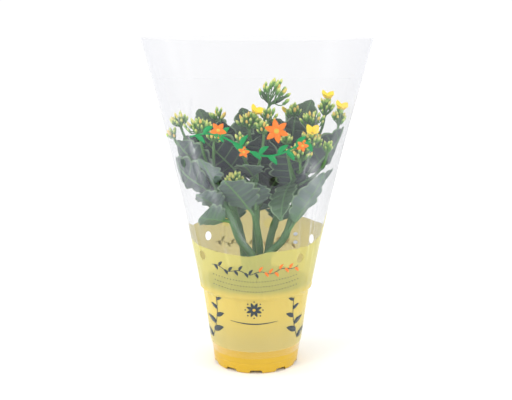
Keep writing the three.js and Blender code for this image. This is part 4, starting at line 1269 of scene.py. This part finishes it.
def rounded(profile, radius, steps=4):
    """A profile with its corners turned into short curves."""
    points = [np.array(p, float) for p in profile]
    result = [points[0]]
    for before, corner, after in zip(points, points[1:], points[2:]):
        reach = min(radius, np.linalg.norm(before - corner) * 0.45, np.linalg.norm(after - corner) * 0.45)
        start = corner + unit(before - corner) * reach
        end = corner + unit(after - corner) * reach
        result += list(bend_at(start, corner, end, np.linspace(0, 1, steps)))
    return result + [points[-1]]


def pot_mesh():
    """The pot: lip, tapered wall with a moulded line, notched foot ring and drain holes."""
    profile = [
        (0, FOOT_HEIGHT), (POT_FOOT_R - 3.6, FOOT_HEIGHT), (POT_FOOT_R - 3.1, 0), (POT_FOOT_R - 1, 0),
        (POT_FOOT_R, 1), (pot_radius(POT_LINE), POT_LINE), (pot_radius(POT_LINE) - 0.35, POT_LINE + 0.7),
        (pot_radius(POT_LINE + 2), POT_LINE + 2), (pot_radius(40), 40), (POT_WALL_TOP_R, LIP_BOTTOM - 2),
        (POT_RIM_R, LIP_BOTTOM), (POT_RIM_R, POT_HEIGHT - 0.8), (POT_RIM_R - 0.8, POT_HEIGHT),
        (LIP_INNER_R, POT_HEIGHT), (LIP_INNER_R - 0.2, LIP_BOTTOM - 3),
        (POT_FOOT_R - POT_WALL - 0.4, FOOT_HEIGHT + POT_WALL + 1.6),
        (POT_FOOT_R - POT_WALL - 2, FOOT_HEIGHT + POT_WALL), (0, FOOT_HEIGHT + POT_WALL),
    ]
    body = lathe_skin(rounded(profile, 0.6), POT_SIDES).mesh("pot")
    notch = [(-7.7, -1), (7.7, -1), (6.1, 3), (5.2, 3.7), (-5.2, 3.7), (-6.1, 3)]
    cutters = Skin()
    for k in range(FOOT_NOTCHES):
        out, side = compass(-math.pi / 2 + TAU * k / FOOT_NOTCHES)
        rings = [[out * reach + side * x + (0, 0, z) for x, z in notch] for reach in NOTCH_REACH]
        cutters.tube(np.array(rings))
    for angle in round_angles(DRAIN_HOLES):
        centre = compass(angle)[0] * DRAIN_RING_R
        cutters.tube(tube_rings([centre, centre + (0, 0, 12)], DRAIN_R, 28))
    result = cut_away(body, cutters.mesh("pot_cutters"))
    result.set_sharp_from_angle(angle=math.radians(40))
    return result


def soil_radius(z):
    """The radius of the pot's inside at a height."""
    share = (z - INSIDE_LOW) / (LIP_BOTTOM - 3 - INSIDE_LOW)
    return mix(POT_FOOT_R - POT_WALL - 0.4, LIP_INNER_R - 0.2, share)


def soil_mesh(settings):
    """The peat: an uneven top in the pot, with the stems' holes, and crumbs scattered over it."""
    floor = FOOT_HEIGHT + POT_WALL + 0.3
    top_radius = soil_radius(SOIL_TOP) - 0.9
    angles = round_angles(SOIL_SIDES)
    sides = [(soil_radius(floor) - 2.4, floor), (soil_radius(floor + 1.8) - 0.9, floor + 1.8),
             (top_radius, SOIL_TOP - 2.2)]
    rings = [level_ring(radius, z, angles) for radius, z in sides]
    for share in np.linspace(0.97, 0.03, 26):
        ring = level_ring(top_radius * share, SOIL_TOP - 1.2 + 2.2 * (1 - share), angles)
        x, y = ring[:, 0], ring[:, 1]
        ring[:, 2] += 0.8 * np.sin(x / 5.1 + 1) * np.cos(y / 4.3)
        ring[:, 2] += 0.4 * np.sin(x / 1.9 + y / 2.7) * np.cos(y / 1.7)
        rings.append(ring)
    skin = Skin()
    skin.tube(np.array(rings))
    holes = Skin()
    for path, _, _ in STEMS.values():
        route = spline_at(path, np.linspace(0, 0.3, 8))
        route[0] -= (0, 0, 0.6)
        holes.tube(tube_rings(route, STEM_HOLE_R, 20))
    body = cut_away(skin.mesh("soil"), holes.mesh("stem_holes"))
    body.set_sharp_from_angle(angle=math.radians(50))
    inputs = {"Density": settings.crumb_density, "Crumb Size": settings.crumb_size, "Seed": CRUMB_SEED}
    return grow("soil", body, crumb_tree(peat(settings)), inputs)


def vent_punches():
    """Rods through the film where its vents are."""
    punches = Skin()
    for height, places, panels in VENTS:
        half_width, half_depth, _, _ = film_section(height)
        for degrees in places:
            for panel in panels:
                out = compass(math.radians(degrees + panel + FILM_TURN - 90))[0]
                reach = math.hypot(half_width * out[0], half_depth * out[1])
                ends = [out * (reach + past) + (0, 0, height) for past in (-PUNCH_REACH, PUNCH_REACH)]
                punches.tube(tube_rings(ends, VENT_R, VENT_SIDES))
    return punches.mesh("punches")


def film_mesh(settings):
    """The sleeve's film: an open-ended bag with a thin wall, folds, welded sides and punched vents."""
    heights = np.concatenate([np.linspace(low, high, rows, endpoint=high == FILM_TOP)
                              for low, high, rows in FILM_ROWS])
    angle, z = np.meshgrid(round_angles(FILM_COLUMNS) - math.pi, heights)
    outer = film_points(angle, z, settings.film_wave)
    inner = film_points(angle, z, settings.film_wave, -settings.film_thickness)
    rings = np.concatenate([outer, inner[::-1]])
    index = np.arange(len(rings) * FILM_COLUMNS).reshape(-1, FILM_COLUMNS)
    right, above = np.roll(index, -1, axis=1), np.roll(index, -1, axis=0)
    faces = np.stack([index, right, np.roll(above, -1, axis=1), above], axis=-1).reshape(-1, 4)
    skin = Skin()
    skin.add(rings.reshape(-1, 3), faces.tolist())
    mesh = cut_away(skin.mesh("film"), vent_punches())
    mesh.polygons.foreach_set("use_smooth", np.ones(len(mesh.polygons), bool))
    mesh.set_sharp_from_angle(angle=math.radians(60))

    x, y, z = mesh_points(mesh).T
    turned = np.degrees(np.arctan2(y, x - film_section(z)[3])) - FILM_TURN
    turned = (turned + 180) % 360 - 180
    edge = np.minimum(np.interp(turned, *zip(*PRINT_TOP)) - z, z - PRINT_BOTTOM)
    point_values(mesh, "ink_edge", np.clip(edge, -8, 8))
    # The painted highlights along the creases, kept at each point
    point_values(mesh, "crease", film_crease_highlight(np.radians(turned), z))
    return mesh


class Decals:
    """Ink shapes on the film's outer face, each a ribbon along a flat line of (x, z)."""

    def __init__(self, settings):
        self.skin = Skin()
        self.wave = settings.film_wave
        self.panel = -1

    def ribbon(self, line, half_widths, slot, lift=INK_LIFT):
        """Adds a thin closed ribbon of changing width."""
        line = np.asarray(line, float)
        tangents = unit(np.gradient(line, axis=0))
        normals = np.stack([-tangents[:, 1], tangents[:, 0]], axis=-1)
        half = np.broadcast_to(half_widths, len(line))[:, None]
        flat = line[:, None, :] + normals[:, None, :] * (half * [-1, 0, 1])[..., None]
        angle = film_angle(flat[..., 0], flat[..., 1], self.panel)
        outer = film_points(angle, flat[..., 1], self.wave, lift + INK_THICKNESS / 2)
        inner = film_points(angle, flat[..., 1], self.wave, lift - INK_THICKNESS / 2)
        self.skin.tube(np.concatenate([outer, inner[:, ::-1]], axis=1), slot)

    def leaf(self, x, z, length, width, degrees, slot, bend=0.12):
        """A pointed leaf that starts at (x, z)."""
        t = np.linspace(0, 1, 15)
        along, side = (direction[:2] for direction in compass(math.radians(degrees)))
        line = np.array([x, z]) + np.outer(t * length, along)
        line += np.outer(bend * length * np.sin(np.pi * t), side)
        self.ribbon(line, width / 2 * np.sin(np.pi * t ** 0.85) ** 0.8 + 0.05, slot)

    def disc(self, x, z, radius, slot, lift=INK_LIFT):
        """A round dot."""
        t = np.linspace(0.02, math.pi - 0.02, 13)
        line = np.stack([x - radius * np.cos(t), np.full(t.shape, float(z))], axis=-1)
        self.ribbon(line, radius * np.sin(t), slot, lift)

    def blossom(self, x, z, radius, petals, turn):
        """A small flower of round petals."""
        for k in range(petals):
            self.leaf(x, z, radius, radius * 3 / petals, turn + 360 * k / petals, ORANGE, 0.0)
        self.disc(x, z, radius * 0.2, GOLD, EYE_LIFT)

    def sprig(self, line, half_widths, slot, places, leaf_at):
        """A stem with leaves up and down by turns. "leaf_at" gives each its size, angle, slot and bend."""
        self.ribbon(line, half_widths, slot)
        for i, share in enumerate(places):
            x, z = line[int(share * (len(line) - 1))]
            self.leaf(x, z, *leaf_at(i, share, 1 if i % 2 else -1))


def print_front_art(decals):
    """A flowering sprig over the plant."""
    def leaf_at(i, _, up):
        return 12 + 3 * draw(i, 2), 5.2, up * (38 + 20 * draw(i, 1)), GREEN

    t = np.linspace(0, 1, 60)
    vine = np.stack([mix(-66, 54, t), 252 + 9 * np.sin(TAU * (t * 1.1 + 0.05)) - 6 * t], axis=-1)
    decals.sprig(vine, 0.75 + 0.35 * np.sin(np.pi * t), GREEN, np.linspace(0.06, 0.96, 13), leaf_at)
    for x, z, radius, petals in FRONT_BLOSSOMS:
        decals.blossom(x, z, radius, petals, 20 + x)


def print_garland(decals):
    """A thin garland, dark at the left and orange at the right, over three rows of dots."""
    def leaf_at(_, share, up):
        return 6.4, 2.8, up * 55, ORANGE if share > 0.5 else DARK

    t = np.linspace(0, 1, 70)
    sag = 121 - 5 * np.sin(np.pi * t)
    garland = np.stack([mix(-46, 44, t), sag + 1.6 * np.sin(TAU * 4 * t)], axis=-1)
    decals.sprig(garland, 0.35, DARK, np.linspace(0.03, 0.97, 17), leaf_at)
    for row, z in enumerate(DOT_ROWS):
        for i in range(ROW_DOTS):
            share = (i + 0.5 * (row % 2)) / (ROW_DOTS - 1)
            decals.disc(mix(-44, 42, share), z - 4 * math.sin(math.pi * share), 0.5, DARK)


def print_rosette(decals):
    """A rosette ringed by dots, with a curved line under it."""
    x, z = ROSETTE_AT
    for degrees in range(0, 360, 45):
        decals.leaf(x, z, 8.6, 3.4, degrees + 22.5, DARK, 0.0)
        out = compass(math.radians(degrees))[0] * 9.2
        decals.disc(x + out[0], z + out[1], 0.8, DARK)
    decals.disc(x, z, 1.6, GOLD, EYE_LIFT)
    t = np.linspace(0, 1, 70)
    curve = np.stack([mix(-27, 23, t), 60.5 - 2.2 * np.sin(np.pi * t)], axis=-1)
    decals.ribbon(curve, 0.15 + 0.5 * np.sin(np.pi * t), DARK)


def print_borders(decals):
    """A leafy stem up each side, and two round marks at the print's upper edge."""
    rise = np.linspace(0, 1, 40)
    for x, lean in ((42, -1), (-44, 1)):
        def leaf_at(i, _, up, side=lean):
            return 14 - 1.4 * i, 6.6 - 0.7 * i, 90 - up * side * 52, DARK, 0.1 * up * side

        stem = np.stack([x + lean * (5 * np.sin(2.2 * rise) - 2), 34 + 50 * rise], axis=-1)
        decals.sprig(stem, 0.3, DARK, (0.02, 0.2, 0.38, 0.56, 0.74, 0.94), leaf_at)
    for z in (147, 156):
        decals.disc(40, z, 1.9, GREY)


def swatch(name, description, *rgb):
    """A colour that a user may change."""
    return FloatVectorProperty(name=name, description=description, subtype="COLOR", default=rgb)


def amount(name, description, default, **more):
    """A number that a user may change."""
    return FloatProperty(name=name, description=description, default=default, min=0, **more)


class KatySettings(PropertyGroup):
    """Sizes and colours that a user would change."""
    pot_colour: swatch("Pot", "Pot plastic", 0.61, 0.383, 0.022)
    soil_colour: swatch("Peat", "Peat", 0.035, 0.022, 0.014)
    crumb_density: amount("Crumb density", "Crumbs on a square metre", 90000.0)
    crumb_size: amount("Crumb size", "Radius of a crumb", 0.0011, unit="LENGTH")
    # Leaf and underside colours: the dark ends are painted shade and the bright ends painted sheen, blended
    # by each leaf's tone
    leaf_shade_colour: swatch("Leaf", "Old leaf", 0.006, 0.012, 0.009)
    leaf_sheen_colour: swatch("Young leaf", "Young leaf", 0.062, 0.115, 0.056)
    underside_shade_colour: swatch("Underside", "Underside of an old leaf", 0.01, 0.02, 0.017)
    underside_sheen_colour: swatch("Young underside", "Underside of a young leaf", 0.145, 0.21, 0.18)
    low_leaf_colour: swatch("Low leaf", "Leaf low on its stem", 0.1, 0.26, 0.09)
    rib_colour: swatch("Rib", "Midrib, side veins and the streaks of a stem", 0.15, 0.32, 0.1)
    # Leaf rim: its paler margin with a painted highlight on the edge
    edge_and_highlight_colour: swatch("Leaf edge", "Pale rim of a leaf", 0.24, 0.36, 0.2)
    stem_colour: swatch("Stem", "Stem", 0.06, 0.16, 0.05)
    stalk_colour: swatch("Stalk", "Stalks", 0.1, 0.23, 0.06)
    calyx_colour: swatch("Calyx", "Foot of a bud", 0.12, 0.31, 0.06)
    bud_colour: swatch("Bud", "Bud", 0.33, 0.54, 0.12)
    bud_tip_colour: swatch("Bud tip", "Tip of a bud", 0.72, 0.76, 0.22)
    ripe_colour: swatch("Ripe bud", "Tip of a ripe bud", 0.88, 0.6, 0.12)
    petal_colour: swatch("Petal", "Petal", 0.98, 0.74, 0.015)
    throat_colour: swatch("Throat", "Throat of a flower", 0.9, 0.5, 0.008)
    crowding: amount("Crowding", "Buds for each bud of the packed head", 1.9)
    bud_width: amount("Bud width", "Width of a bud against its length", 0.94)
    # Haze colours of the film above the pot and over it; their change with height is painted reflection
    film_colour: swatch("Film haze", "Haze of the film", 0.39, 0.4, 0.47)
    low_haze_colour: swatch("Low haze", "Haze of the film on the pot", 0.8, 0.79, 0.77)
    film_tint: swatch("Film tint", "Light that one face of the film lets through", 1.0, 1.0, 1.0)
    film_haze: amount("Haze", "Cover of one face seen square", 0.056, max=1, subtype="FACTOR")
    film_gloss: amount("Edge gloss", "Cover of one face seen edge on", 0.28, max=1, subtype="FACTOR")
    film_thickness: amount("Film thickness", "Wall, millimetres", 0.3)
    film_wave: amount("Film waves", "Height of the slow waves, millimetres", 0.9)
    print_colour: swatch("Print", "Print above the pot", 0.66, 0.66, 0.25)
    print_low_colour: swatch("Print on the pot", "Print over the pot's wall", 0.9, 0.8, 0.25)
    print_foot_colour: swatch("Print's foot", "Print low on the pot", 0.74, 0.7, 0.32)
    # Back print: lighter, painted light against the back panel's shade
    print_back_painted_light_colour: swatch("Back print", "Print on the back panel", 0.86, 0.8, 0.28)
    print_cover: amount("Print cover", "Cover of the print on one face", 0.38, max=1, subtype="FACTOR")
    print_filter: swatch("Print filter", "Light that the print lets through", 0.97, 0.9, 0.66)
    world_light: amount("World", "Strength of the white surround", 1.06)
    key_light: amount("Key", "Power of the key light", 6.0, unit="POWER")
    rim_light: amount("Side", "Power of the side lights", 3.0, unit="POWER")
    lens: amount("Lens", "Focal length", 66.94, unit="CAMERA")


def settings_of(context):
    """The scene's own settings."""
    return context.scene.flaming_katy


class KATY_OT_pot(Operator):
    """Makes the nursery pot and its peat"""
    bl_idname = "flaming_katy.pot"
    bl_label = "Pot and peat"

    def execute(self, context):
        settings = settings_of(context)
        as_piece("pot_body", pot_mesh(), [pot_plastic(settings)], "pot_plastic", "pot")
        as_piece("peat_bed", soil_mesh(settings), [], "soil", "soil")
        return {"FINISHED"}


class KATY_OT_leafy_stems(Operator):
    """Makes the six leafy stems and the small leaves at the heads"""
    bl_idname = "flaming_katy.leafy_stems"
    bl_label = "Leafy stems"

    def execute(self, context):
        settings = settings_of(context)
        upper = settings.leaf_shade_colour, settings.leaf_sheen_colour, 0.36, 0.2, 0.34
        lower = settings.underside_shade_colour, settings.underside_sheen_colour, 0.8, 0.4, 0.5
        materials = [leaf_skin("leaf_upper", settings, *upper), leaf_skin("leaf_lower", settings, *lower),
                     stem_skin(settings)]
        for seed, key in enumerate(STEMS):
            as_piece(f"stem_{key}", stem_mesh(key, seed), materials, "leaf", f"leafy_stem_{key}")
        for key in BRACTS:
            as_piece(f"bracts_{key}", bract_mesh(key), materials[:1], "leaf")
        return {"FINISHED"}


class KATY_OT_bud_heads(Operator):
    """Grows the bud heads"""
    bl_idname = "flaming_katy.bud_heads"
    bl_label = "Bud heads"

    def execute(self, context):
        settings = settings_of(context)
        tree = head_tree(bud_skin(settings))
        bud = new_object("bud_to_repeat", bud_mesh())
        for seed, key in enumerate(HEADS):
            base = HeadFrame(key, seed, settings.crowding).mesh(f"frame_{key}")
            inputs = {"Bud": bud, "Bud Width": settings.bud_width, "Stalk Sides": FORK_SIDES, "Seed": seed}
            mesh = grow(f"head_{key}", base, tree, inputs)
            as_piece(f"buds_{key}", mesh, [], "bud", f"bud_head_{key}")
        bpy.data.objects.remove(bud)
        return {"FINISHED"}


class KATY_OT_open_flowers(Operator):
    """Makes the open flowers"""
    bl_idname = "flaming_katy.open_flowers"
    bl_label = "Open flowers"

    def execute(self, context):
        material = petal_skin(settings_of(context))
        for seed, (key, head) in enumerate(HEADS.items()):
            if head[5]:
                as_piece(f"flower_{key}", flower_mesh(key, seed), [material], "petal", f"open_flower_{key}")
        return {"FINISHED"}


class KATY_OT_sleeve(Operator):
    """Makes the film sleeve and its printed ornaments"""
    bl_idname = "flaming_katy.sleeve"
    bl_label = "Film sleeve"

    def execute(self, context):
        settings = settings_of(context)
        as_piece("sleeve_film", film_mesh(settings), [printed_film(settings)], "film", "film_sleeve")
        decals = Decals(settings)
        print_front_art(decals)
        for panel in (-1, 1):
            decals.panel = panel
            print_garland(decals)
            print_rosette(decals)
            print_borders(decals)
        inks = [ink(name, rgb) for name, rgb in INKS.items()]
        as_piece("sleeve_print", decals.skin.mesh("sleeve_print"), inks, "film")
        return {"FINISHED"}


class KATY_OT_stage(Operator):
    """Makes the floor, the lights, the surround and the camera"""
    bl_idname = "flaming_katy.stage"
    bl_label = "Stage"

    def execute(self, context):
        settings = settings_of(context)
        skin = Skin()
        angles = round_angles(FLOOR_SIDES)
        skin.tube(np.array([level_ring(FLOOR_R, z, angles) for z in FLOOR_HEIGHTS]))
        floor = new_object("studio_floor", skin.mesh("studio_floor", 40))
        floor.data.materials.append(studio_floor())
        world = bpy.data.worlds.new("White surround")
        world.use_nodes = True
        back = world.node_tree.nodes["Background"]
        back.inputs["Color"].default_value = (1, 1, 1, 1)
        back.inputs["Strength"].default_value = settings.world_light
        context.scene.world = world
        for name, place, width, height, power in SOFT_BOXES:
            light = bpy.data.lights.new(name, "AREA")
            light.shape = "RECTANGLE"
            light.size, light.size_y = width, height
            light.energy = getattr(settings, power)
            aim_at(new_object(name, light), place, LIGHT_AIM)
        camera = bpy.data.cameras.new("camera")
        camera.lens = settings.lens
        camera.sensor_width = SENSOR_WIDTH
        context.scene.camera = aim_at(new_object("camera", camera), CAMERA_AT, CAMERA_AIM)
        context.scene.view_settings.view_transform = "Standard"
        context.scene.cycles.use_denoising = True
        context.scene.cycles.transparent_max_bounces = 24
        return {"FINISHED"}


class KATY_PT_sidebar(Panel):
    """The plant's steps and settings"""
    bl_idname = "KATY_PT_sidebar"
    bl_label = "Flaming katy"
    bl_space_type = "VIEW_3D"
    bl_region_type = "UI"
    bl_category = "Flaming katy"

    def draw(self, context):
        for step in STEPS:
            self.layout.operator(step.bl_idname)
        for name in KatySettings.__annotations__:
            self.layout.prop(settings_of(context), name)


STEPS = (KATY_OT_stage, KATY_OT_pot, KATY_OT_leafy_stems, KATY_OT_bud_heads, KATY_OT_open_flowers,
         KATY_OT_sleeve)
CLASSES = (KatySettings, *STEPS, KATY_PT_sidebar)


def register():
    """Makes the classes and the scene's settings known to Blender."""
    for kind in CLASSES:
        bpy.utils.register_class(kind)
    bpy.types.Scene.flaming_katy = PointerProperty(type=KatySettings)


def unregister():
    """Takes them away again."""
    del bpy.types.Scene.flaming_katy
    for kind in reversed(CLASSES):
        bpy.utils.unregister_class(kind)


def main():
    """Makes every piece in order."""
    register()
    for step in STEPS:
        group, name = step.bl_idname.split(".")
        getattr(getattr(bpy.ops, group), name)()


if __name__ == "__main__":
    main()
